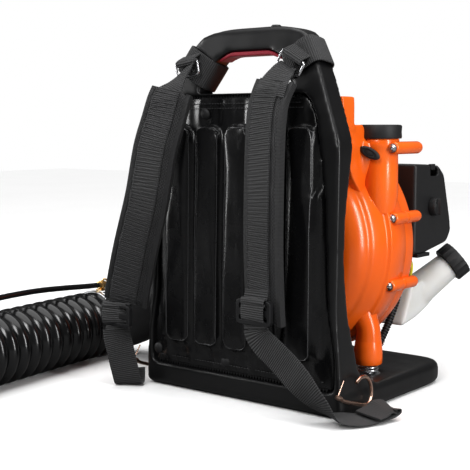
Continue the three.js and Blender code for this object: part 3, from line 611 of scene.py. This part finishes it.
# Each row of a route is a point in millimetres and the direction of the band's width there.
STRAPS = {
    "right": [(66, -140, 403, 1, -.17, -.2), (63, -150, 382, 1, -.17, -.1),
              (64, -158, 358, 1, -.17, 0), (67, -165, 322, 1, -.17, 0),
              (70, -171, 262, 1, -.17, 0), (69, -170, 203, 1, -.17, 0),
              (66, -163, 142, 1, -.17, 0), (64, -158, 114, 1, -.17, 0)],
    "left": [(-96, -147, 395, 1, .3, .2), (-98, -152, 383, 1, .3, .15),
             (-102, -159, 356, 1, .3, .15), (-110, -166, 319, 1, .3, .2),
             (-120, -172, 254, 1, .3, .25), (-141, -172, 188, 1, .3, .3),
             (-163, -166, 128, 1, .3, .25), (-168, -163, 114, 1, .3, .2)],
}
# A tongue also has its widths from end to end.
TONGUES = {
    "right": ([(64, -154, 388, 1, -.17, -.2), (67, -149, 400, 1, -.17, -.2),
               (71, -141, 412, 1, -.1, -.35), (74, -133, 420, 1, 0, -.5),
               (75.5, -128.5, 421.5, 1, 0, -.55), (75, -126, 417, 1, 0, -.55)],
              [52, 49, 42, 34, 28, 26]),
    "left": ([(-100, -157, 376, 1, .3, .15), (-98, -153, 388, 1, .3, .2),
              (-92, -146, 402, 1, .2, .3), (-84, -136, 419, 1, .1, .5),
              (-76, -130, 431, .8, 0, .6), (-74, -127, 432, .8, 0, .6)],
             [54, 48, 30, 20, 16, 15]),
}
LOWER = {
    "right": [(62, -176, 108, 1, 0, 0), (65, -175.5, 99, 1, 0, .15),
              (73, -174.5, 90, .9, 0, .4), (86, -174, 81, .85, 0, .65),
              (103, -174, 69, .8, 0, .8), (126, -177, 53, .85, 0, .8), (149, -173, 31, .8, -.4, .6),
              (162, -160, 12, .8, -.5, 0), (175, -141, 7, .8, -.5, -.15),
              (184, -121, 5, .8, -.5, -.1), (190, -103, 7, .8, -.5, -.12),
              (194, -89, 9, .8, -.5, -.16), (195.5, -82, 12.5, .8, -.5, -.2),
              (192, -93, 14.5, .8, -.5, -.2), (190, -106, 11.5, .8, -.5, -.16),
              (188, -122, 9.5, .8, -.5, -.12)],
    "left": [(-177, -174, 78, .85, .5, .1), (-175, -174, 66, .85, .5, 0),
             (-169, -174, 48, .85, .5, -.1), (-163, -172, 22, .85, .5, -.1),
             (-162, -168, 6, .85, .5, 0), (-164, -162, 3, .85, .5, 0),
             (-168, -155, 6, .85, .5, 0), (-173, -149, 20, .85, .5, 0)],
}


def ribbed(q, section):
    """Ribs across a webbing, a quarter of a wave at each ring."""
    return np.sign(section[:, 1])[None] * 0.24 * np.sin(np.arange(len(q))[:, None] * math.pi / 2)


def puckered(q, section):
    """Ribs and the small gathers that the sewing pulls into a strap's band."""
    step = np.arange(len(q))[:, None]
    gather = np.sin(step * 0.93 + 0.8 * np.sin(step * 0.11) + section[:, 0][None] * 1.6)
    return ribbed(q, section) + 0.42 * gather * (1 - 0.8 * section[:, 0][None] ** 4)


def lumpy(q, section):
    """The uneven fullness of a padded strap."""
    z = q[:, 2:3]
    return 0.35 * np.sin(z * 210 + section[:, 0][None] * 2.0) + 0.3 * np.sin(z * 95 + 1.3)


def flat(half_thick):
    """A flat band's section, from half of its thickness in millimetres."""
    return [(share, height * half_thick) for share, height in FLAT]


def webbing(name, route, width, half_thick=1.0, wave=ribbed):
    """A ribbed band, with four rings to each rib. Its width is one number or some along it."""
    length = np.linalg.norm(np.diff(spline(route, 200)[:, :3], axis=0), axis=1).sum()
    count = int(length / (WEBBING_RIB / 4))
    if np.ndim(width):
        width = np.interp(np.linspace(0, 1, count), np.linspace(0, 1, len(width)), width)
    return strip(name, route, width, flat(half_thick), count, wave)


def beside(route, count, across, out):
    """A route beside a band's centreline: across it and out from its face, in millimetres."""
    p = spline(route, count)
    _, side, up = frames(p, p[:, 3:6])
    if up[count // 2][1] > 0:
        up = -up
    return np.hstack([(p[:, :3] + side * across * MM + up * out * MM) / MM, p[:, 3:6]])


PAD_RINGS = 100


def sewn_down(_):
    """The ends of a strap's pad and the lines along it where the band and the edges hold it."""
    sewn = np.zeros((PAD_RINGS, len(PADDED)), bool)
    sewn[:, PINNED] = True
    sewn[[0, -1]] = True
    return sewn.ravel()


for name, route in STRAPS.items():
    width = 56 - 7 * np.clip(np.abs(np.linspace(-1, 1, PAD_RINGS)) * 12 - 11, 0, 1)
    strap = strip(f"strap_pad_{name}", route, width, PADDED, PAD_RINGS, lumpy)
    inflated(strap, sewn_down, 1.6)
    applied(strap, ("SUBSURF", {"levels": 1, "render_levels": 1}))
    piece(strap, "mesh", f"shoulder_strap_{name}")
    piece(joined(f"strap_binding_{name}", [
        strip("edge", beside(route, 24, side * 27.4, 0.2), 7, flat(4.3), 90)
        for side in (-1, 1)]), "binding")
    piece(webbing(f"strap_band_{name}", beside(route, 24, -3, 6.5), 38, wave=puckered), "webbing")
    piece(webbing(f"strap_tongue_{name}", *TONGUES[name], 1.1), "webbing")
    threads = [stitches("thread", spline(beside(route, 40, across, out), 300), 4.2, 3.0, 0.45)
               for across, out in ((-20.2, 7.7), (14.2, 7.7), (20.5, 5.6))]
    for level in (0.06, 0.08, 0.955, 0.975):
        row = beside(route, 200, -3, 7.9)[int(level * 199)]
        line = [tuple(row[:3] + unit(row[3:6]) * a) for a in np.linspace(-16, 16, 5)]
        threads.append(stitches("thread", spline(line, 30), 4.0, 3.0, 0.45))
    piece(joined(f"strap_thread_{name}", threads), "thread")

for name, route in LOWER.items():
    piece(webbing(f"webbing_{name}", route, 38), "webbing", f"lower_webbing_{name}")

# The webbing passes over the buckle's middle bar, and the strap's end is folded round its top bar.
BUCKLED = {"webbing": (37, [(0, 2.6, 21), (0, 1.0, 13), (0, -4.4, 8), (0, -5.0, 0),
                            (0, -4.4, -8), (0, 0.5, -13), (1, 0.5, -20)]),
           "anchor": (38, [(0, 4.5, -2), (0, 1.5, 7), (0, -4.5, 11), (0, -3.6, 16),
                           (0, 2.4, 17.5), (0, 4.5, 27)])}
for name, (x, y, z, wide) in {"right": (61, -177, 127, (1, -.1, 0)),
                              "left": (-175, -174.5, 97, (.95, .3, 0))}.items():
    buckle = copied(f"ladder_buckle_{name}", f"buckle_{name}")
    applied(buckle, ("BEVEL", {"width": 0.9 * MM, "segments": 3, "limit_method": "ANGLE"}))
    piece(buckle, "buckle", f"ladder_buckle_{name}")
    for part, (width, route) in BUCKLED.items():
        rows = [(x + a, y + b, z + c) + wide for a, b, c in route]
        piece(webbing(f"buckle_{part}_{name}", rows, width, 0.9), "webbing")


def rounded(power, count, start=0.0):
    """Points of a round-cornered square, 2 wide, from the angle start. A high power squares it."""
    for i in range(count):
        a = i / count * 2 * math.pi + start
        c, s = math.cos(a), math.sin(a)
        size = (abs(c) ** power + abs(s) ** power) ** (-1 / power)
        yield c * size, s * size


for name, centre, tilt, side in (("right", (82, -97.5, 430), 0.56, 1),
                                 ("left", (-84.3, -99, 425.5), 0.54, -1)):
    # Webbing stitched round one leg of the handle, over itself at the back.
    axis = unit((-side * math.sin(tilt), 0.2, math.cos(tilt)))
    wide = unit(np.cross((0, 1, 0), axis))
    deep = np.cross(axis, wide)
    rows = [tuple(centre + wide * 25.0 * a + deep * 19.6 * b) + tuple(axis)
            for a, b in rounded(4, 30, 1.2)]
    piece(webbing(f"hanger_wrap_{name}", rows + rows[:1], 38, 1.2), "webbing",
          f"hanger_loop_{name}")

RING_WIDTH, RING_HEIGHT, RING_WIRE = 40, 21, 3.2
half_wide, half_high = (RING_WIDTH - RING_WIRE) / 2, (RING_HEIGHT - RING_WIRE) / 2
# A ring's centre, its upward direction and the direction of its long bars.
RINGS = {}
for name, centre, tilt in (("right", (78, -128.5, 426), 30), ("left", (-87, -128.5, 424), -8)):
    turn = Matrix.Rotation(math.radians(tilt), 3, "Y")
    RINGS[name] = Vector(centre), turn @ Vector((0, 0, 1)), turn @ Vector((1, 0, 0))
for name, (centre, up, bar) in RINGS.items():
    points = [tuple((centre + bar * half_wide * a + up * half_high * b) * MM)
              for a, b in rounded(9, 64)]
    ring = tube(f"ring_{name}", np.array(points + points[:1]), RING_WIRE / 2 * MM, 12)
    piece(ring, "steel", f"hanger_ring_{name}")
# A tab of webbing is folded over the ring's upper bar: up and back from the bar's middle.
FOLD = [(9, 11.5), (6.5, 6), (3.8, 0), (0.5, -3.9), (-3.2, -2.2), (-3.8, 2), (-2, 7), (-1, 11)]
for name, (centre, up, bar) in RINGS.items():
    rows = [tuple(centre + up * (half_high + a) + Vector((0, b, 0))) + tuple(bar) for a, b in FOLD]
    piece(webbing(f"ring_tab_{name}", rows, 31), "webbing")

# A hook's wire from its eye to its tip, as (y, z).
HOOK = [(-150, 32), (-137, 26), (-118, 20), (-98, 14), (-84, 13), (-77, 22), (-79, 36), (-88, 46),
        (-101, 48), (-112, 44)]
for name, x in (("right", 165.5), ("left", -165.5)):
    line = spline([(x, y, z) for y, z in HOOK], 90)
    wire = tube("wire", line, 0.0023, 14)
    eye = lathe("eye", [(0, -6), (2.6, -5.6), (3.2, -3), (3.2, 3), (2.6, 5.6), (0, 6)],
                (x, -149.5, 32.5), (0, -1, 0.45), 24)
    piece(joined(f"hook_{name}", [wire, eye]), "copper", f"strap_hook_{name}")
    crisp(f"hook_gate_{name}", "copper", 0.2)

# ---------------------------------------------------------------- fan case

SHAFT = (0, 0, 195)
NECK = (127, 0, 0)
OUTLET = (0, -4, 108)
FEET = {"right": 115, "left": -115}
# Where a bolt joins the halves of the case: x and z, and its boss's two ends in y.
BOLTS = {"top": (153, 323, -12, 54), "middle": (149.3, 233, -4, 26.3),
         "bottom": (146, 146, -4, 26.3)}
RIM_BOLTS = [(152.5 * math.cos(a), 195 + 152.5 * math.sin(a)) for a in (1.35, 2.2, 3.0, 4.55, 5.1)]
front = [lathe("dome", [
    (72, -70), (84, -71.5), (94, -71), (99, -69), (101.5, -65.5), (104, -62.2), (107.5, -62.6),
    (113, -62), (120, -59.5), (127, -54.5), (132, -48.5), (135.2, -42), (136.4, -37.6),
    (138.2, -36.6), (141, -31), (144.5, -22.5), (146.4, -15), (147.2, -10.8), (149.6, -9.8),
    (151.8, -9), (152.4, -7.5), (152.4, 26.2), (152, 26.8), (149, 26.8), (148.6, 0), (138, -30),
    (121, -53), (100, -62), (72, -66), (72, -70)], SHAFT, (0, 1, 0), 160, 60)]
for name, (x, z, y0, y1) in BOLTS.items():
    end = [(4.5, y1 - 0.8), (0, y1)] if name == "top" else [(8, y1), (0, y1)]
    front.append(lathe("boss", [(0, y0), (6.4, y0), (7.8, y0 + 1.4), (8, y0 + 3), (8, y1 - 5),
                                (7.2, y1 - 2)] + end, (x, 0, z), (0, 1, 0), 40))
front.append(lathe("neck", [(20, 240), (24, 262), (23.6, 300), (23.2, 322), (24.6, 324),
                            (24.6, 333), (23.5, 334.8), (0, 335)], NECK, (0, 0, 1), 72))
for x in FEET.values():
    front.append(lathe("foot", [(0, 58), (13.8, 57.5), (13.8, 41.5), (17.2, 41), (18.4, 42.6),
                                (18.8, 50), (18.4, 60), (17.4, 70), (15, 78), (0, 80)],
                       (x, -2, 0), (0, 0, 1), 64))
    lean = np.sign(x)
    front.append(tube("root", spline([(x, -2, 66), (x, -2, 78), (x - lean, -2, 88),
                                      (x - 6 * lean, -2, 100), (x - 17 * lean, 0, 119),
                                      (x - 30 * lean, 2, 136)], 40),
                      np.interp(np.linspace(0, 1, 40), [0, 0.25, 0.4, 0.6, 0.8, 1],
                                [17.2, 15.8, 16.4, 21, 26, 27]) * MM, 64))
front.append(lathe("outlet", [(38, -80), (45.8, -100), (45.8, -156), (48, -157), (48, -163.5),
                              (41, -163.8), (0, -160)], OUTLET, (1, 0, 0), 80))
post = joined("post", [
    prism("slab", [(98, 345), (98, 372), (99, 386), (120, 387), (121, 375), (121, 345)], -78, -50),
    prism("fairing", [(-76, 350), (-62, 352), (-30, 352), (-16, 338), (-10, 262), (-30, 262),
                      (-52, 285), (-69, 318)], 98, 120, "yz"),
    tube("volute", spline([(60, -14, 262), (88, -15, 290), (104, -14, 312), (112, -12, 334)], 30),
         np.linspace(44, 20, 30) * MM, 48)])
front.append(softened(post, 1.6, 8))
piece(joined("fan_case_front_skin", front), "orange", "fan_case_front")

rear = [lathe("shell", [(152, 27), (152.2, 29), (152.2, 44), (150.5, 49), (147, 54), (141, 58.5),
                        (132, 61.5), (110, 63), (104, 65.2), (62, 66.3), (62, 62), (104, 60),
                        (140, 54), (148.5, 46), (148.5, 27), (152, 27)], SHAFT, (0, 1, 0), 160, 60)]
for x, z, _, _ in (BOLTS["middle"], BOLTS["bottom"]):
    rear.append(lathe("boss", [(0, 27), (8, 27), (8, 56), (7, 59.5), (4.5, 61), (0, 61.4)],
                      (x, 0, z), (0, 1, 0), 40))
piece(joined("fan_case_rear_skin", rear), "orange", "fan_case_rear")
piece(lathe("neck_cap_skin", [(24.2, 334.5), (27.2, 334.8), (27.9, 336.5), (27.4, 343),
                              (27.9, 350), (26.8, 351.8), (24, 352.3), (22, 351.2), (0, 351)],
            NECK, (0, 0, 1), 80), "rubber", "neck_cap")
plug = lathe("oval_plug_skin", [(0, 4), (9.5, 4), (12.2, 3), (12.8, 0.5), (12.8, -3),
                                (11.5, -4.2), (8.6, -4.4), (8, -3.4), (5, -3.2), (4.4, -4.5),
                                (0, -4.6)], (0, 0, 0), (0, 1, 0), 64)
plug.data.transform(Matrix.Translation(Vector((130, -29, 317)) * MM)
                    @ Matrix.Rotation(0.35, 4, "Z") @ Matrix.Rotation(0.5, 4, "Y")
                    @ Matrix.Diagonal((1.1, 1, 0.5, 1)))
piece(plug, "rubber", "oval_plug")


def screw_head(x, y, z, axis=(0, -1, 0), radius=4.6):
    """A washer and a domed head with a round socket. axis points out of the head."""
    return lathe("screw", [(0, 0.2), (radius + 1.2, 0.2), (radius + 1.2, 1.0), (radius, 1.2),
                           (radius, 2.1), (radius * 0.7, 3.1), (radius * 0.34, 3.5),
                           (radius * 0.3, 1.6), (0, 1.4)], (x, y, z), axis, 28)


for name, (x, z, y, _) in BOLTS.items():
    piece(screw_head(x, y, z), "steel", f"case_screw_{name}")
tabs = [lathe("tab", [(0, -8), (6.5, -8), (8, -6), (8, 30), (7, 34), (0, 35)],
              (x, 0, z), (0, 1, 0), 32) for x, z in RIM_BOLTS]
piece(joined("rim_tabs", tabs), "orange")
piece(joined("rim_screws", [screw_head(x, -8, z, radius=3.4) for x, z in RIM_BOLTS]), "steel")

COIL_TURNS, COIL_RADIUS, COIL_LOW, COIL_HIGH = 6, 12.2, 29.6, 54
for name, x in FEET.items():
    angles = np.linspace(0, COIL_TURNS * 2 * math.pi, 12 * COIL_TURNS)
    helix = np.stack([x + COIL_RADIUS * np.cos(angles), COIL_RADIUS * np.sin(angles) - 2,
                      np.linspace(COIL_LOW, COIL_HIGH, len(angles))], 1)
    coil = tube("coil", spline(helix, 480), 0.0016, 10)
    seat = lathe("seat", [(0, 27.2), (16.2, 27.2), (16.6, 28.6), (9, 29), (8.4, 30), (0, 30.4)],
                 (x, -2, 0), (0, 0, 1), 48)
    piece(joined(f"spring_{name}", [coil, seat]), "steel", f"mount_spring_{name}")

# ---------------------------------------------------------------- engine and fuel

for node, material in {
        "intake_guard": "charcoal", "impeller": "nylon", "crankcase": "cast", "cylinder": "cast",
        "piston": "cast", "crankshaft": "steel", "flywheel": "cast", "spark_plug": "ceramic",
        "starter_cover": "charcoal", "starter_pulley": "nylon", "carburettor": "cast",
        "throttle_lever": "steel", "choke_lever": "rubber", "filter_base": "charcoal",
        "filter_knob": "rubber", "stop_switch": "red", "cruise_lever": "charcoal"}.items():
    crisp(node, material, 0.25 if node in ("cylinder", "flywheel", "impeller") else 0.45)
moulded("engine_cover", "charcoal", 1.5, 4)
moulded("muffler", "cast", 1.8, 3)
moulded("filter_cover", "charcoal", 1.5, 4)
moulded("fuel_tank", "tank", 2.0, 8)
moulded("starter_grip", "rubber", 1.2, 3)
moulded("throttle_trigger", "charcoal", 1.2, 3)
moulded("control_grip", "rubber", 1.5, 5)
crisp("fuel_cap", "rubber", 0.5, 50)
primer = lathe("primer_skin", [(0, 203.9), (3.4, 203.9), (6, 205), (8, 208), (8.3, 212.8),
                               (6.6, 217), (3.6, 219.8), (0, 220.6)],
               (52, 105, 0), (0, 0, 1), 32)
piece(primer, "clear", "primer_bulb", body="root")
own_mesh(primer)
trim = [block("latch", (128, 139, 294.5), (5, 11, 8)),
        block("lip", (128, 112, 174.5), (9, 34, 5))]
piece(softened(joined("filter_trim", trim), 0.8, 2), "charcoal",
      body=body_of_node["filter_cover"])
piece(joined("cover_screws", [screw_head(x, y, z, axis=(0, 1, 0), radius=3.2) for x, y, z in (
    (-50, 146, 236), (24, 146, 236), (-36, 169, 180), (36, 169, 180), (0, 169, 232))]), "steel")
fuel_line = spline([(96, 124, 132.6), (104, 122, 139), (109, 119, 149), (109.5, 118, 160),
                    (105, 116, 169), (95, 113, 171.5), (82, 111, 172), (71, 110, 177),
                    (66.5, 109, 190), (66, 109, 221.5)], 80)
piece(tube("fuel_line_skin", fuel_line, 0.0026, 12), "yellow", "fuel_line")
conduit = spline([(100, 106, 140), (100, 98, 116), (100, 84, 94), (99, 70, 74), (98, 56, 58),
                  (97, 50, 48)], 300)
corrugated = 4.5 + 0.8 * np.sign(np.sin(np.arange(len(conduit)) * 0.55))
piece(tube("wiring_conduit_skin", conduit, corrugated * MM, 14), "rubber", "wiring_conduit")
clip = spline([(100, 62, 60), (104, 57, 60), (106, 52, 57), (103, 48, 52), (98, 49, 50),
               (96, 54, 53), (98, 59, 57)], 40)
piece(tube("conduit_loop", clip, 0.0011, 8), "steel")
rope = spline([(-58.4, 151, 217), (-62, 151, 217), (-66, 151, 217), (-70, 151, 217)], 40)
piece(tube("starter_rope_skin", rope, 0.002, 10), "binding", "starter_rope")

# ---------------------------------------------------------------- duct

# Routes are points in millimetres along the middle of the duct.
ELBOW = [(-165.2, -4, 108), (-190, -4, 107.6), (-225, -5, 99), (-258, -9, 83), (-289, -19, 66),
         (-314, -36, 55), (-328, -58, 51.2), (-329, -75, 51)]
HOSE = [(-328, -56, 51.4), (-329.1, -76, 51), (-329.2, -95, 50.6), (-324, -140, 50.6),
        (-314, -210, 50.6), (-305, -270, 50.6), (-294, -350, 50.6), (-288, -405, 50.6),
        (-288, -432, 50.6)]
PIPE = (-288, 0, 50.6)
elbow = tube("elbow", spline(ELBOW, 70), 0.046, 72)
collar = lathe("collar", [(46, -164.6), (48.6, -165), (49, -167), (49, -178), (46.4, -180)],
               OUTLET, (1, 0, 0), 80)
piece(joined("outlet_elbow_skin", [elbow, collar]), "charcoal", "outlet_elbow")

RIBS = 17
line = spline(HOSE, RIBS * 24 + 1)
along = np.r_[0, np.cumsum(np.linalg.norm(np.diff(line, axis=0), axis=1))]
rib_length = along[-1] / RIBS
swell = np.abs(np.sin(np.pi * along / rib_length)) ** 0.7
# The hose is two pieces that meet in the valley after its ninth rib.
valley = int(np.argmin(np.abs(along - 9 * rib_length)))
for name, part, start, end, a, b in (
        ("near", slice(0, valley + 1), (-.329, -.075, .051), (-.322, -.16, .051), "root", "duct"),
        ("far", slice(valley, None), (-.300, -.31, .05), (-.288, -.43, .05), "duct", "wand")):
    bellows = tube(f"hose_{name}", line[part], (40.2 + 9.8 * swell[part]) * MM, 96)
    piece(bellows, "gloss", "hose", body="")
    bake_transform(bellows)
for body, (x, y, z) in {"root": (-328.7, -68, 51), "wand": (-288, -426, 50.6)}.items():
    band = lathe("band", [(47.6, -4.5), (50.4, -4.5), (50.9, -3.6), (50.4, -2.6), (50.4, 2.6),
                          (50.9, 3.6), (50.4, 4.5), (47.6, 4.5)], (x, y, z), (0, 1, 0), 96)
    housing = lathe("housing", [(0, -8), (3.4, -8), (4.2, -6.5), (4.2, 5), (2.6, 5.4), (2.6, 8),
                                (0, 8.4)], (x + 36, y, z + 37), (1, 0, -1), 20)
    piece(joined(f"clamp_{body}", [band, housing]), "steel", body=body)
piece(lathe("control_pipe_skin", [
    (46, -430.6), (46.6, -433), (46.6, -436), (46, -438), (46, -452), (43, -462), (40.4, -471),
    (40, -476), (40, -592), (40.8, -594), (40.8, -598), (40, -600), (40, -605), (42.6, -607),
    (43, -609), (43, -638), (42, -640), (37.6, -640), (37, -638.5), (37, -473), (43, -454),
    (43, -431), (46, -430.6)], PIPE, (0, 1, 0), 120), "charcoal", "control_pipe")
# The bayonet's lugs are made above and below the pipe and turned to its sides.
lugs = [block("lug", (0, -622, z), (9, 14, 4)) for z in (44.5, -44.5)]
lugs = softened(joined("bayonet_lugs", lugs), 0.8, 2)
lugs.data.transform(Matrix.Translation(Vector(PIPE) * MM) @ Matrix.Rotation(1.57, 4, "Y"))
piece(lugs, "charcoal", body="wand")
ferrule = lathe("ferrule", [(0, -7), (5.0, -7), (5.4, -6.4), (5.4, -2), (6.6, -1.6), (6.6, 2.4),
                            (5.4, 3), (5.4, 6.6), (4.4, 7), (0, 7)],
                (-327, -55, 110), (0, -1, 0), 32)
stem = tube("stem", spline([(-327, -52, 102), (-325, -50, 108), (-322, -48, 113), (-321, -50, 117),
                            (-323, -53, 119), (-326, -54, 116)], 40), 0.0014, 10)
foot = block("foot", (-327, -55, 102.4), (12, 12, 2.4))
piece(joined("cable_clip_skin", [ferrule, stem, foot]), "brass", "cable_clip")
cable_line = spline([(-327, -62.6, 110), (-327, -76, 110.5), (-326, -100, 112), (-322, -140, 115),
                     (-316, -190, 118), (-309, -240, 119), (-302, -290, 118.5), (-296, -335, 117),
                     (-291, -380, 115.5), (-288, -425, 115), (-288, -460, 113), (-288, -485, 110.5),
                     (-288, -506, 108.5)], 260)
cable = tube("throttle_cable_skin", cable_line, 0.004, 16)
piece(cable, "gloss", "throttle_cable", body="")
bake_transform(cable)

# ---------------------------------------------------------------- floor, light and camera

# The floor is pale to the camera and darker to the object, whose gloss mirrors it.
floor = build("floor", [(-6, -4, 0), (6, -4, 0), (6, 5, 0), (-6, 5, 0)], [(0, 1, 2, 3)])
g = Graph("pale floor")
seen = g.add("ShaderNodeLightPath").outputs["Is Camera Ray"]
pale = g.mix(g.noise(3, 3), rgb((0.93,) * 3), rgb((0.97,) * 3))
floor.data.materials.append(g.finish(Base_Color=g.mix(seen, rgb((0.22,) * 3), pale), Roughness=0.7))
floor.location.z = -0.0002

# The sky is white to the camera and dimmer as a light, so black plastic keeps its contrast.
world = bpy.data.worlds.new("studio")
scene.world = world
world.use_nodes = True
tree = world.node_tree
ray = tree.nodes.new("ShaderNodeLightPath")
dim = tree.nodes.new("ShaderNodeMapRange")
dim.inputs["To Min"].default_value, dim.inputs["To Max"].default_value = 0.15, 1.0
tree.links.new(ray.outputs["Is Camera Ray"], dim.inputs["Value"])
tree.nodes["Background"].inputs["Color"].default_value = (1, 1, 1, 1)
tree.links.new(dim.outputs["Result"], tree.nodes["Background"].inputs["Strength"])
scene.view_settings.view_transform = "Standard"
scene.view_settings.look = "None"
scene.view_settings.gamma = 0.88


def area_light(name, place, target, size, power):
    light = bpy.data.lights.new(name, "AREA")
    light.shape, light.size, light.size_y, light.energy = "RECTANGLE", size[0], size[1], power
    obj = linked(name, light)
    obj.location = place
    obj.rotation_euler = (Vector(target) - Vector(place)).to_track_quat("-Z", "Y").to_euler()


sun = linked("overhead", bpy.data.lights.new("overhead", "SUN"))
sun.data.energy, sun.data.angle = 2.85, math.radians(70)
area_light("key", (0.5, -1.9, 1.5), (0, 0, 0.2), (0.6, 0.9), 22)
area_light("left_fill", (-1.9, -1.0, 0.8), (0, 0, 0.2), (0.3, 1.5), 26)
area_light("right_rim", (2.0, -0.2, 0.8), (0.1, 0, 0.25), (0.35, 1.5), 30)

AZIMUTH, DOWN = math.radians(38.6), math.radians(5.84)
camera = linked("camera", bpy.data.cameras.new("camera"))
camera.data.lens, camera.data.sensor_width = 80.1, 36
camera.location = (0.8195, -1.1644, 0.348)
camera.rotation_euler = (math.pi / 2 - DOWN, 0, AZIMUTH)
scene.camera = camera
